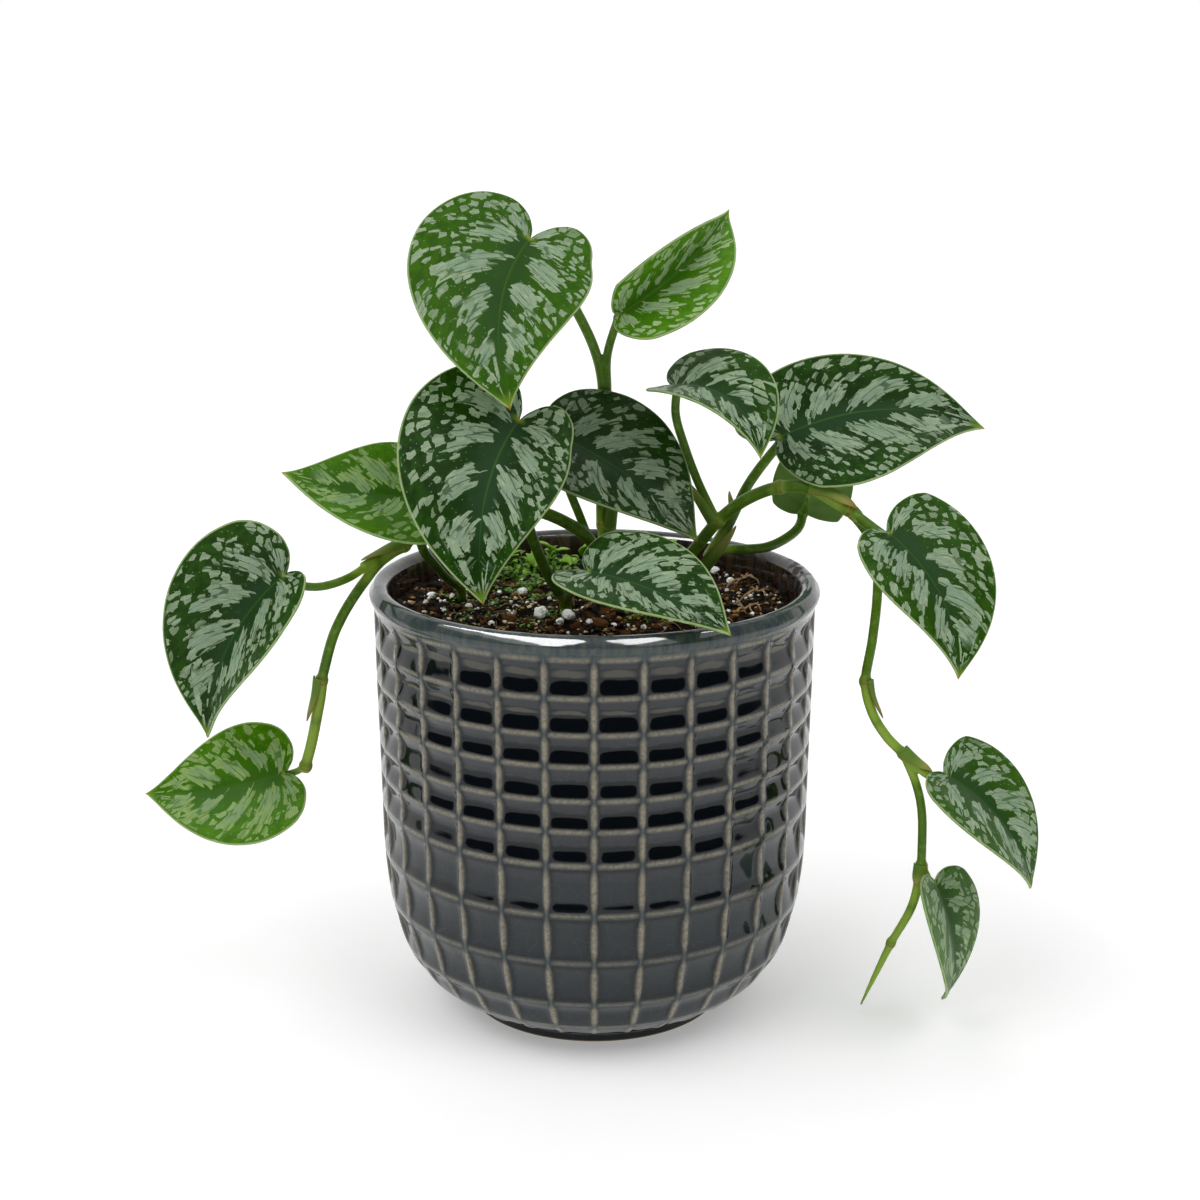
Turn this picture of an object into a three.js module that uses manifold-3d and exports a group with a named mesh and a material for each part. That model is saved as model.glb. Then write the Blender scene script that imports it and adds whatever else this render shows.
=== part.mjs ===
// A satin pothos in a glazed pot with a raised net. Millimetres, +Z up.
// The pot stands on z = 0 with its axis on z; -Y is the front of the plant.
import * as THREE from 'three';
import { mergeVertices } from 'three/addons/utils/BufferGeometryUtils.js';
import Module from 'manifold-3d';

const wasm = await Module();
wasm.setup();

// ---------------------------------------------------------------- driving dimensions

// pot
const WALL_RADIUS = 68.9; // rib crests, just under the rim
const WALL_TAPER = 0.017; // radius lost per mm downwards
const BELLY_HEIGHT = 75; // the wall starts to turn in here
const BELLY_POWER = 3.8; // 2 is an ellipse, more is squarer
const WALL_THICKNESS = 5.8;
const FOOT_RADIUS = 41;
const FOOT_HEIGHT = 3.5;
const FOOT_CHAMFER = 0.8;
const COLUMNS = 30;
const ROW_HEIGHTS = [11.5, 11, 9.5, 10.5, 9.5, 10.5, 16, 15.5, 15, 10.5, 8.5]; // from the top
const RIB_HALF_WIDTH = 2.1;
const CELL_DEPTH = 1.5;
const BEAD_RADIUS = 3.2; // the rounded rim
const BEAD_HEIGHT = 135.2; // centre of the bead
const BEAD_CENTRE = 67.1; // its distance from the axis
const CAVITY_FLOOR = 8;
const CAVITY_CORNER = 20; // radius lost where the cavity wall meets its floor

// soil
const GAP = 0.3; // between touching pieces
const SOIL_LEVEL = 127.5;
const SOIL_MOUND = 2.5;
const SOIL_LUMP = 0.8;
const ROOT_DEPTH = 14; // how far a stem stands in its hole

// leaves
const BLADE_THICKNESS = 0.75;
const CROSS_CURVE = 0.22; // how much a half blade arches down towards its edge
const SEAT_SHARE = 0.03; // where a petiole meets the midrib, as a share of the length

// ---------------------------------------------------------------- helpers

const point = (x, y, z) => new THREE.Vector3(x, y, z);
const degrees = THREE.MathUtils.degToRad;

// a smooth curve through a list of places
const smooth = (places) =>
  new THREE.CatmullRomCurve3(places.map((place) => point(...place)), false, 'catmullrom', 0.5);

// a closed geometry from corner points and faces of three corners
function closedGeometry(corners, faces) {
  const geometry = new THREE.BufferGeometry();
  const coordinates = faces.flat().flatMap((corner) => corners[corner].toArray());
  geometry.setAttribute('position', new THREE.Float32BufferAttribute(coordinates, 3));
  return geometry;
}

function toSolid(geometry) {
  const bare = geometry.index ? geometry.toNonIndexed() : geometry.clone();
  bare.deleteAttribute('normal');
  bare.deleteAttribute('uv');
  const merged = mergeVertices(bare, 1e-5);
  const mesh = new wasm.Mesh({
    numProp: 3,
    vertProperties: new Float32Array(merged.attributes.position.array),
    triVerts: new Uint32Array(merged.index.array),
  });
  return new wasm.Manifold(mesh);
}

function toGeometry(solid) {
  const mesh = solid.getMesh();
  const geometry = new THREE.BufferGeometry();
  geometry.setAttribute('position', new THREE.BufferAttribute(mesh.vertProperties, 3));
  geometry.setIndex(new THREE.BufferAttribute(mesh.triVerts, 1));
  return geometry;
}

// ---------------------------------------------------------------- pot

// radius of the rib crests at a height
function wallRadius(height) {
  const straight = WALL_RADIUS - WALL_TAPER * (netTop() - height);
  const inBelly = Math.max(0, (BELLY_HEIGHT - height) / BELLY_HEIGHT);
  return straight * (1 - inBelly ** BELLY_POWER) ** (1 / BELLY_POWER);
}

function netTop() {
  return FOOT_HEIGHT + ROW_HEIGHTS.reduce((sum, row) => sum + row, 0);
}

function cavityRadius(height) {
  const corner = Math.max(0, 1 - (height - CAVITY_FLOOR) / CAVITY_CORNER);
  return wallRadius(Math.max(height, CAVITY_FLOOR + CAVITY_CORNER)) - WALL_THICKNESS
    - CAVITY_CORNER * (1 - Math.sqrt(1 - corner ** 2));
}

// heights where the cavity's outline has a point, from the rim down
const CAVITY_STEPS = [132, 64, CAVITY_FLOOR + CAVITY_CORNER, 18, 11, CAVITY_FLOOR];

function potGeometry() {
  const corners = [];
  const faces = [];

  // adds a ring of points, the first one at the front, and gives its first index
  function ring(count, radius, height) {
    for (let i = 0; i < count; i += 1) {
      const turn = (2 * Math.PI * i) / count;
      corners.push(point(radius * Math.sin(turn), -radius * Math.cos(turn), height));
    }
    return corners.length - count;
  }

  // joins a ring to the ring that follows it on the outline
  function band(from, to, count) {
    for (let i = 0; i < count; i += 1) {
      const next = (i + 1) % count;
      faces.push([from + i, from + next, to + next], [from + i, to + next, to + i]);
    }
  }

  function fan(from, count, centre) {
    for (let i = 0; i < count; i += 1) {
      faces.push([from + i, from + ((i + 1) % count), centre]);
    }
  }

  // one cell of the net: crests on its four sides, a sunk floor inside
  function cell(lower, upper, column, lowHeight, highHeight) {
    const next = (column + 1) % COLUMNS;
    const crest = [lower + column, lower + next, upper + next, upper + column];
    const floorStart = corners.length;
    const step = (2 * Math.PI) / COLUMNS;
    for (const [side, height] of [[0, lowHeight], [1, lowHeight], [1, highHeight], [0, highHeight]]) {
      const sunkHeight = height + (height === lowHeight ? RIB_HALF_WIDTH : -RIB_HALF_WIDTH);
      const radius = wallRadius(sunkHeight) - CELL_DEPTH;
      const turn = step * (column + side) + (side ? -1 : 1) * (RIB_HALF_WIDTH / radius);
      corners.push(point(radius * Math.sin(turn), -radius * Math.cos(turn), sunkHeight));
    }
    for (let side = 0; side < 4; side += 1) {
      const after = (side + 1) % 4;
      faces.push([crest[side], crest[after], floorStart + after]);
      faces.push([crest[side], floorStart + after, floorStart + side]);
    }
    faces.push([floorStart, floorStart + 1, floorStart + 2], [floorStart, floorStart + 2, floorStart + 3]);
  }

  // underside and foot
  const middle = corners.push(point(0, 0, 0)) - 1;
  const sole = ring(COLUMNS, FOOT_RADIUS - FOOT_CHAMFER, 0);
  for (let i = 0; i < COLUMNS; i += 1) {
    faces.push([middle, sole + ((i + 1) % COLUMNS), sole + i]);
  }
  const foot = ring(COLUMNS, FOOT_RADIUS, FOOT_CHAMFER);
  band(sole, foot, COLUMNS);
  let lower = ring(COLUMNS, wallRadius(FOOT_HEIGHT), FOOT_HEIGHT);
  band(foot, lower, COLUMNS);

  // net, from the bottom row up
  let lowHeight = FOOT_HEIGHT;
  for (const rowHeight of [...ROW_HEIGHTS].reverse()) {
    const highHeight = lowHeight + rowHeight;
    const upper = ring(COLUMNS, wallRadius(highHeight), highHeight);
    for (let column = 0; column < COLUMNS; column += 1) {
      cell(lower, upper, column, lowHeight, highHeight);
    }
    lower = upper;
    lowHeight = highHeight;
  }

  // rim: a bead with twice as many corners as the net has columns
  const fine = 2 * COLUMNS;
  const beadTurns = [-45, -5, 35, 75, 115, 160];
  let last = -1;
  for (const beadTurn of beadTurns) {
    const radius = BEAD_CENTRE + BEAD_RADIUS * Math.cos(degrees(beadTurn));
    const height = BEAD_HEIGHT + BEAD_RADIUS * Math.sin(degrees(beadTurn));
    const next = ring(fine, radius, height);
    if (last >= 0) {
      band(last, next, fine);
    } else {
      for (let i = 0; i < COLUMNS; i += 1) {
        const here = lower + i;
        const after = lower + ((i + 1) % COLUMNS);
        const onRim = [2 * i, 2 * i + 1, (2 * i + 2) % fine].map((corner) => next + corner);
        faces.push([here, onRim[1], onRim[0]], [here, after, onRim[1]], [after, onRim[2], onRim[1]]);
      }
    }
    last = next;
  }

  // cavity
  for (const height of CAVITY_STEPS) {
    const next = ring(fine, cavityRadius(height), height);
    band(last, next, fine);
    last = next;
  }
  fan(last, fine, corners.push(point(0, 0, CAVITY_FLOOR)) - 1);
  return closedGeometry(corners, faces);
}

// ---------------------------------------------------------------- stems

// a round tube along a smooth route
function tube(route, radius) {
  const curve = smooth(route);
  const sides = 8;
  const section = new THREE.Shape();
  for (let i = 0; i < sides; i += 1) {
    const turn = (2 * Math.PI * i) / sides;
    const corner = [radius * Math.cos(turn), radius * Math.sin(turn)];
    if (i === 0) section.moveTo(...corner);
    else section.lineTo(...corner);
  }
  const steps = Math.max(2, Math.round(curve.getLength() / (5 * radius)));
  return toSolid(new THREE.ExtrudeGeometry(section, { steps, bevelEnabled: false, extrudePath: curve }));
}

// a petiole: a tube that ends just under the notch of its leaf
function petiole(number, route, radius) {
  const leaf = LEAVES[number - 1];
  const frames = midrib(leaf);
  const seat = bladePoint(leaf, frames, SEAT_SHARE, 0);
  const arrival = seat.clone().sub(point(...route.at(-1))).normalize();
  const tilt = Math.sqrt(1 - arrival.dot(frames[1].out) ** 2);
  seat.addScaledVector(frames[1].out, -(BLADE_THICKNESS / 2 + GAP + radius * tilt));
  return tube([...route, seat.toArray()], radius);
}

// the thickened ring where a leaf or a side shoot leaves a vine
function ring(place, radius) {
  const ball = new THREE.SphereGeometry(radius, 8, 6);
  ball.translate(...place);
  return toSolid(ball);
}

// a straight stretch that narrows, for a sheath or a growing tip
function taper(from, to, fromRadius, toRadius) {
  const start = point(...from);
  const run = point(...to).sub(start);
  const cone = new THREE.CylinderGeometry(toRadius, fromRadius, run.length(), 8);
  cone.translate(0, run.length() / 2, 0);
  const toRun = new THREE.Quaternion().setFromUnitVectors(point(0, 1, 0), run.clone().normalize());
  cone.applyQuaternion(toRun);
  cone.translate(...from);
  return toSolid(cone);
}

// the upright foot of a stem, from inside its hole to just above the soil
function root([x, y], radius) {
  return taper([x, y, SOIL_LEVEL - ROOT_DEPTH], [x, y, SOIL_LEVEL + ROOT_RISE], radius, radius);
}

const ROOT_RISE = 5;

// where each stem leaves the soil, seen from above, with its radius
const ROOTS = {
  vineRight: { at: [19, 11.5], radius: 1.95 },
  vineLeft: { at: [2.5, 13], radius: 1.95 },
  upright: { at: [3.5, 20], radius: 2.2 },
  front: { at: [-9, -3], radius: 2 },
  back: { at: [28.5, 11.5], radius: 1.8 },
  left: { at: [-42.5, 13], radius: 1.5 },
};

const aboveSoil = ([x, y]) => [x, y, SOIL_LEVEL + ROOT_RISE - 1];

// Right vine: it rises from the soil, arches over the rim and hangs down to its growing tip.
// The routes are kept by hand; each starts where the one before it ends.
const VINE_RIGHT = {
  arch: [aboveSoil(ROOTS.vineRight.at), [24, 9, 137], [30.5, 7, 144.5], [38.5, 4, 155.5], [47, 1, 163],
    [57, -2, 167.5], [66.5, -5, 167.5], [77.5, -9, 162]],
  drop: [[77.5, -9, 162], [83.5, -8.5, 154.5], [86.5, -10, 146], [86.5, -14, 136], [85, -17.5, 123],
    [83, -20, 110.5], [85, -22, 101.5], [89.5, -23, 94], [95, -24, 88.5]],
  end: [[95, -24, 88.5], [99, -25.5, 79], [101, -26.5, 69], [101, -29, 53.5]],
  shoot: [[101, -29, 53.5], [98.5, -30, 41], [92.5, -29, 28]],
  shootTip: [[92.5, -29, 28], [88, -28, 16.5], [84, -27, 6]],
  petiole6: [[38, 4, 155.5], [32, 5, 168], [27.5, 5, 180], [25, 5, 189]],
  petiole8: [[77.5, -9, 162], [82.5, -12, 158.5]],
  petiole9: [[95, -24, 88.5], [98.5, -25, 85.5], [102.5, -26, 82.5]],
  petiole10: [[101, -29, 53.5], [102.5, -30, 51.5]],
};

function vineRight() {
  const route = VINE_RIGHT;
  return wasm.Manifold.union([
    root(ROOTS.vineRight.at, ROOTS.vineRight.radius),
    tube(route.arch, 1.95),
    tube(route.drop, 1.55),
    tube(route.end, 1.4),
    tube(route.shoot, 1.6),
    taper(route.shootTip[0], route.shootTip[1], 1.3, 0.9),
    taper(route.shootTip[1], route.shootTip[2], 0.9, 0.35),
    petiole(6, route.petiole6, 1.4),
    petiole(8, route.petiole8, 1.7),
    petiole(9, route.petiole9, 1.5),
    petiole(10, route.petiole10, 1.1),
    ring([38.5, 4, 155.5], 2.5),
    ring([57, -2, 167.5], 2.4),
    ring([77.5, -9, 162], 2.4),
    ring([83, -20, 110.5], 2.1),
    ring([95, -24, 88.5], 2.1),
    ring([101, -29, 53.5], 2.1),
    ring([92.5, -29, 28], 1.7),
  ]);
}

// Left vine: an arch behind leaf 3, over the rim and down.
const VINE_LEFT = {
  arch: [aboveSoil(ROOTS.vineLeft.at), [1.5, 8.5, 141], [-2, 4.5, 150], [-9, 2, 155.5], [-17.5, 0, 159.5],
    [-29, -2, 162], [-41, -3.5, 161], [-51.5, -6, 156.5], [-58.5, -8, 150.5]],
  drop: [[-58.5, -8, 150.5], [-65, -15, 147], [-69.5, -19, 142], [-73.5, -21, 136.5], [-77, -21.5, 130.5],
    [-80, -21.5, 123.5], [-83.5, -20.5, 111]],
  end: [[-83.5, -20.5, 111], [-84.5, -20, 104], [-87, -20, 92], [-89.5, -19.5, 83]],
  petiole4: [[-2, 4.5, 150], [-4.5, 7, 156], [-8, 7, 165], [-11, 4.5, 175]],
  sheath11: [[-58.5, -8, 150.5], [-70, -19.5, 146.5]],
  petiole11: [[-68, -17.5, 147], [-74, -23, 144], [-81, -27, 142.5], [-87, -28.5, 143]],
  petiole12: [[-89.5, -19.5, 83], [-92.5, -19, 81]],
};

function vineLeft() {
  const route = VINE_LEFT;
  return wasm.Manifold.union([
    root(ROOTS.vineLeft.at, ROOTS.vineLeft.radius),
    tube(route.arch, 1.95),
    tube(route.drop, 1.6),
    tube(route.end, 1.75),
    petiole(4, route.petiole4, 1.4),
    taper(route.sheath11[0], route.sheath11[1], 2.1, 1.5),
    petiole(11, route.petiole11, 1.3),
    petiole(12, route.petiole12, 1.1),
    ring([-58.5, -8, 150.5], 2.4),
    ring([-83.5, -20.5, 111], 2.1),
    ring([-89.5, -19.5, 83], 2.2),
  ]);
}

// Leaves 1 and 2 stand on two upright petioles that leave one sheath.
const STEM_UPRIGHT = {
  sheath: [[3.5, 20, 131.5], [3.5, 18, 151]],
  petiole1: [[2, 18, 150], [2, 17.5, 163], [2.5, 17.5, 179], [2.5, 17.5, 195], [0.5, 15, 206],
    [-4, 11.5, 217], [-11, 6.5, 229.5]],
  petiole2: [[5, 18, 150], [5, 18, 163], [4.5, 18, 179], [4, 17.5, 194.5], [4, 14.5, 206]],
};

function stemUpright() {
  const route = STEM_UPRIGHT;
  return wasm.Manifold.union([
    root(ROOTS.upright.at, ROOTS.upright.radius),
    ring([3.5, 20, 131.5], 2.3),
    taper(route.sheath[0], route.sheath[1], 2.2, 2.6),
    ring([3.5, 18, 151], 2.6),
    petiole(1, route.petiole1, 1.6),
    petiole(2, route.petiole2, 1.4),
  ]);
}

// Leaves 3 and 5 share a node at the soil in front of the crown.
const STEM_FRONT = {
  petiole3: [aboveSoil(ROOTS.front.at), [-12.5, -5, 137], [-16, -8, 145], [-19.5, -13, 156], [-23, -18, 168],
    [-24, -21.5, 180]],
  petiole5: [aboveSoil(ROOTS.front.at), [-7.5, -13, 136], [-5.5, -25, 141.5], [-3, -37, 147]],
};

function stemFront() {
  const route = STEM_FRONT;
  return wasm.Manifold.union([
    root(ROOTS.front.at, ROOTS.front.radius),
    ring(aboveSoil(ROOTS.front.at), 2.3),
    petiole(3, route.petiole3, 1.7),
    petiole(5, route.petiole5, 1.15),
  ]);
}

// Leaf 7 stands on a sheathed stem behind the right vine; leaf 14 leaves it towards the back.
const STEM_BACK = {
  petiole7: [aboveSoil(ROOTS.back.at), [32, 10.5, 136], [36, 9.5, 142], [40, 9, 149], [43.5, 9, 156],
    [47, 9, 164], [51.5, 9.5, 171]],
  sheath: [[36, 9.5, 142], [43, 9, 155]],
  petiole14: [[38, 9.5, 145], [47.5, 14, 144], [55, 19, 143.5], [61.5, 24.5, 145], [66, 28, 148]],
};

function stemBack() {
  const route = STEM_BACK;
  return wasm.Manifold.union([
    root(ROOTS.back.at, ROOTS.back.radius),
    ring(aboveSoil(ROOTS.back.at), 1.9),
    petiole(7, route.petiole7, 1.6),
    taper(route.sheath[0], route.sheath[1], 2.3, 1.7),
    petiole(14, route.petiole14, 1.6),
  ]);
}

const PETIOLE_LEFT = [aboveSoil(ROOTS.left.at), [-46.5, 6, 136.5], [-49.5, -1, 142.5], [-52.5, -8, 149],
  [-53, -12.5, 155.5], [-50.5, -13.5, 161.5]];

function petioleLeft() {
  return wasm.Manifold.union([
    root(ROOTS.left.at, ROOTS.left.radius),
    ring(aboveSoil(ROOTS.left.at), 1.6),
    petiole(13, PETIOLE_LEFT, 1.5),
  ]);
}

// ---------------------------------------------------------------- soil

// height of the soil over its level: a low mound with lumps
function soilRise(x, y) {
  const mound = SOIL_MOUND * Math.exp(-(x * x + (y - 8) ** 2) / 700);
  const lumps = Math.sin(0.31 * x + 1) * Math.sin(0.27 * y + 2) + 0.6 * Math.sin(0.53 * x - 0.4 * y);
  return mound + SOIL_LUMP * lumps;
}

function soil() {
  const sectors = 32;
  const rings = 6;
  const corners = [];
  const faces = [];
  const around = (index) => (index % sectors);

  corners.push(point(0, 0, SOIL_LEVEL + soilRise(0, 0)));
  for (let ringIndex = 1; ringIndex <= rings; ringIndex += 1) {
    const radius = ((cavityRadius(SOIL_LEVEL) - GAP - 0.1) * ringIndex) / rings;
    for (let i = 0; i < sectors; i += 1) {
      const turn = (2 * Math.PI * i) / sectors;
      const x = radius * Math.cos(turn);
      const y = radius * Math.sin(turn);
      corners.push(point(x, y, SOIL_LEVEL + soilRise(x, y)));
    }
  }
  // the side and the bottom follow the cavity
  const sideHeights = CAVITY_STEPS.slice(1).map((height) => height + GAP);
  for (const height of sideHeights) {
    const radius = cavityRadius(height - GAP) - GAP - 0.1;
    for (let i = 0; i < sectors; i += 1) {
      const turn = (2 * Math.PI * i) / sectors;
      corners.push(point(radius * Math.cos(turn), radius * Math.sin(turn), height));
    }
  }
  for (let i = 0; i < sectors; i += 1) {
    faces.push([0, 1 + i, 1 + around(i + 1)]);
  }
  for (let ringIndex = 0; ringIndex < rings + sideHeights.length - 1; ringIndex += 1) {
    const inner = 1 + ringIndex * sectors;
    const outer = inner + sectors;
    for (let i = 0; i < sectors; i += 1) {
      const next = around(i + 1);
      faces.push([inner + i, outer + i, outer + next], [inner + i, outer + next, inner + next]);
    }
  }
  const floorRing = corners.length - sectors;
  const floorMiddle = corners.push(point(0, 0, CAVITY_FLOOR + GAP)) - 1;
  for (let i = 0; i < sectors; i += 1) {
    faces.push([floorRing + i, floorMiddle, floorRing + around(i + 1)]);
  }

  // one plain hole for each stem
  const holes = Object.values(ROOTS).map(({ at, radius }) => {
    const hole = new THREE.CylinderGeometry(radius + 2 * GAP, radius + 2 * GAP, 2 * ROOT_DEPTH, 8);
    hole.rotateX(Math.PI / 2);
    hole.translate(...at, SOIL_LEVEL - GAP);
    return toSolid(hole);
  });
  return toSolid(closedGeometry(corners, faces)).subtract(wasm.Manifold.union(holes));
}

// ---------------------------------------------------------------- leaves

// Half a blade's outline, from the notch round the lobe to the tip: distance along the midrib in
// lengths, distance from it in half widths, and the place on the midrib that this point is joined to.
const HALF_OUTLINE = [
  [0, 0, 0], [-0.055, 0.055, 0.006], [-0.12, 0.2, 0.014], [-0.145, 0.42, 0.024], [-0.09, 0.7, 0.045],
  [0.04, 0.9, 0.09], [0.2, 1, 0.17], [0.38, 0.96, 0.3], [0.55, 0.8, 0.46], [0.7, 0.57, 0.63],
  [0.82, 0.34, 0.78], [0.92, 0.14, 0.91], [1, 0, 1],
];

// Each leaf: where its notch is, the heading, pitch and roll of its midrib at the notch, its length, its
// half widths as a share of the length, the angles that the midrib bends sideways and curls down by on its
// way to the tip, the angle that each half is folded up by, and the size of its lobes.
const LEAVES = [
  { at: [-19, 0, 243], heading: -122, pitch: -29, roll: -28, length: 62, left: 0.4, right: 0.5,
    bend: 50, curl: 31, fold: 11, leftLobe: 1.24, rightLobe: 1.14 },
  { at: [7, 8, 219], heading: 36, pitch: 23, roll: 69, length: 63, left: 0.27, right: 0.37,
    bend: 18, curl: 21, fold: 55, leftLobe: 0.2, rightLobe: 0.55 },
  { at: [-22, -22, 192], heading: -124, pitch: -32, roll: -38, length: 61, left: 0.35, right: 0.5,
    bend: 46, curl: 32, fold: 12, leftLobe: 1.27, rightLobe: 1.26 },
  { at: [-13, 0, 184], heading: -29, pitch: -17, roll: 23, length: 58, left: 0.46, right: 0.42,
    bend: -6, curl: 33, fold: 16, leftLobe: 0.84, rightLobe: 1 },
  { at: [-2, -42, 151], heading: -29, pitch: -4, roll: 21, length: 52, left: 0.39, right: 0.33,
    bend: -20, curl: 13, fold: 18, leftLobe: 0.59, rightLobe: 1.03 },
  { at: [24, 5, 198], heading: -30, pitch: 8, roll: 15, length: 44, left: 0.46, right: 0.37,
    bend: -45, curl: 74, fold: 22, leftLobe: 0.72, rightLobe: 0.85 },
  { at: [57, 12, 180], heading: 18, pitch: 23, roll: 42, length: 71, left: 0.31, right: 0.48,
    bend: -40, curl: 29, fold: 24, leftLobe: 1, rightLobe: 0.46 },
  { at: [88.5, -18, 157], heading: -24, pitch: -35, roll: 25, length: 51, left: 0.52, right: 0.41,
    bend: -37, curl: 40, fold: 11, leftLobe: 0.55, rightLobe: 0.7 },
  { at: [107.5, -26, 83], heading: -18, pitch: -29, roll: 16, length: 47, left: 0.5, right: 0.45,
    bend: -7, curl: 56, fold: 14, leftLobe: 0.4, rightLobe: 0.64 },
  { at: [105, -32, 49.5], heading: -46, pitch: -60, roll: -15, length: 43, left: 0.5, right: 0.44,
    bend: 27, curl: 61, fold: 14, leftLobe: 0.49, rightLobe: 0.58 },
  { at: [-92, -30, 147], heading: 170, pitch: -41, roll: -63, length: 61, left: 0.48, right: 0.46,
    bend: 40, curl: 24, fold: 40, leftLobe: 0.86, rightLobe: 0.84 },
  { at: [-96, -20, 81], heading: -179, pitch: -19, roll: -57, length: 46, left: 0.45, right: 0.42,
    bend: -21, curl: 3, fold: 14, leftLobe: 0.82, rightLobe: 0.73 },
  { at: [-47, -14, 167], heading: -149, pitch: 3, roll: -41, length: 49, left: 0.42, right: 0.41,
    bend: -36, curl: 8, fold: 14, leftLobe: 1, rightLobe: 1 },
  { at: [68, 32, 152], heading: -15, pitch: 76, roll: -90, length: 36, left: 0.38, right: 0.36,
    bend: 0, curl: 10, fold: 8, leftLobe: 0.2, rightLobe: 0.35 },
];

const MIDRIB_STEPS = 24;
const OUTLINE_STEPS = 15; // for half a blade
const STRIPS = 2; // from the midrib to the edge

// the midrib as a row of places with the directions along it, across it and out of the upper face
function midrib(leaf) {
  const along = point(1, 0, 0);
  along.applyAxisAngle(point(0, 1, 0), -degrees(leaf.pitch));
  along.applyAxisAngle(point(0, 0, 1), degrees(leaf.heading));
  const out = point(0, 0, 1);
  out.addScaledVector(along, -along.z).normalize().applyAxisAngle(along, degrees(leaf.roll));
  const place = point(...leaf.at);
  const frames = [];
  for (let i = 0; i <= MIDRIB_STEPS; i += 1) {
    const across = out.clone().cross(along);
    frames.push({ place: place.clone(), along: along.clone(), across, out: out.clone() });
    const before = along.clone();
    along.applyAxisAngle(out, degrees(leaf.bend) / MIDRIB_STEPS);
    const axis = out.clone().cross(along);
    // the curl grows towards the tip
    const curl = (degrees(leaf.curl) / MIDRIB_STEPS) * (0.5 + (i + 0.5) / MIDRIB_STEPS);
    along.applyAxisAngle(axis, curl);
    out.applyAxisAngle(axis, curl);
    place.addScaledVector(before.add(along), (0.5 * leaf.length) / MIDRIB_STEPS);
  }
  return frames;
}

// the blade's middle surface: u is the distance along the midrib in lengths, v the one across in mm
function bladePoint(leaf, frames, u, v) {
  const position = THREE.MathUtils.clamp(u, 0, 1) * MIDRIB_STEPS;
  const index = Math.min(Math.floor(position), MIDRIB_STEPS - 1);
  const share = position - index;
  const mix = (key) => frames[index][key].clone().lerp(frames[index + 1][key], share);
  const fold = degrees(leaf.fold);
  const round = 0.05 * leaf.length; // rounds the fold along the midrib
  const rise = Math.sin(fold) * (Math.hypot(v, round) - round) - (CROSS_CURVE * v * v) / leaf.length;
  return mix('place')
    .addScaledVector(mix('along'), Math.min(u, 0) * leaf.length)
    .addScaledVector(mix('across'), v * Math.cos(fold))
    .addScaledVector(mix('out'), rise);
}

// a point of the upper or lower face, half the thickness from the middle surface
function facePoint(leaf, frames, u, v, side) {
  const step = 0.4;
  const here = bladePoint(leaf, frames, u, v);
  const at = (alongStep, acrossStep) =>
    bladePoint(leaf, frames, u + alongStep / leaf.length, v + acrossStep);
  const ahead = at(step, 0).sub(at(-step, 0));
  const beside = at(0, step).sub(at(0, -step));
  const normal = ahead.cross(beside).normalize();
  return here.addScaledVector(normal, (side * BLADE_THICKNESS) / 2);
}

function bladeGeometry(leaf) {
  const frames = midrib(leaf);
  const outline = smooth(HALF_OUTLINE);
  const corners = [];
  const faces = [];
  const grids = {};

  for (const side of [1, -1]) {
    for (const half of [1, -1]) {
      const wide = (half === 1 ? leaf.left : leaf.right) * leaf.length;
      const lobe = half === 1 ? leaf.leftLobe : leaf.rightLobe;
      const grid = [];
      for (let i = 0; i <= OUTLINE_STEPS; i += 1) {
        const edge = outline.getPoint(i / OUTLINE_STEPS);
        const edgeU = edge.x < 0 ? edge.x * lobe : edge.x;
        const row = [];
        for (let j = 0; j <= STRIPS; j += 1) {
          const share = j / STRIPS;
          const u = THREE.MathUtils.lerp(edge.z, edgeU, share);
          const v = half * wide * edge.y * share;
          row.push(corners.push(facePoint(leaf, frames, u, v, side)) - 1);
        }
        grid.push(row);
      }
      grids[`${side},${half}`] = grid;
    }
  }

  // faces that use one corner twice are left out after the corners at one place are merged
  const key = (corner) => corners[corner].toArray().map((value) => value.toFixed(4)).join();
  const addFace = (a, b, c) => {
    if (key(a) !== key(b) && key(b) !== key(c) && key(a) !== key(c)) faces.push([a, b, c]);
  };
  const addQuad = (a, b, c, d, flip) => {
    if (flip) {
      addFace(a, c, b);
      addFace(a, d, c);
    } else {
      addFace(a, b, c);
      addFace(a, c, d);
    }
  };

  for (const half of [1, -1]) {
    const upper = grids[`1,${half}`];
    const lower = grids[`-1,${half}`];
    for (let i = 0; i < OUTLINE_STEPS; i += 1) {
      for (let j = 0; j < STRIPS; j += 1) {
        addQuad(upper[i][j], upper[i + 1][j], upper[i + 1][j + 1], upper[i][j + 1], half === -1);
        addQuad(lower[i][j], lower[i + 1][j], lower[i + 1][j + 1], lower[i][j + 1], half === 1);
      }
      addQuad(upper[i][STRIPS], upper[i + 1][STRIPS], lower[i + 1][STRIPS], lower[i][STRIPS], half === -1);
    }
  }
  return closedGeometry(corners, faces);
}

// ---------------------------------------------------------------- assembly

const paint = (color, roughness) => new THREE.MeshStandardMaterial({ color, roughness, metalness: 0 });

const pothos = new THREE.Group();

function add(name, geometry, material) {
  const mesh = new THREE.Mesh(geometry, material);
  mesh.name = name;
  pothos.add(mesh);
}

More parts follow.
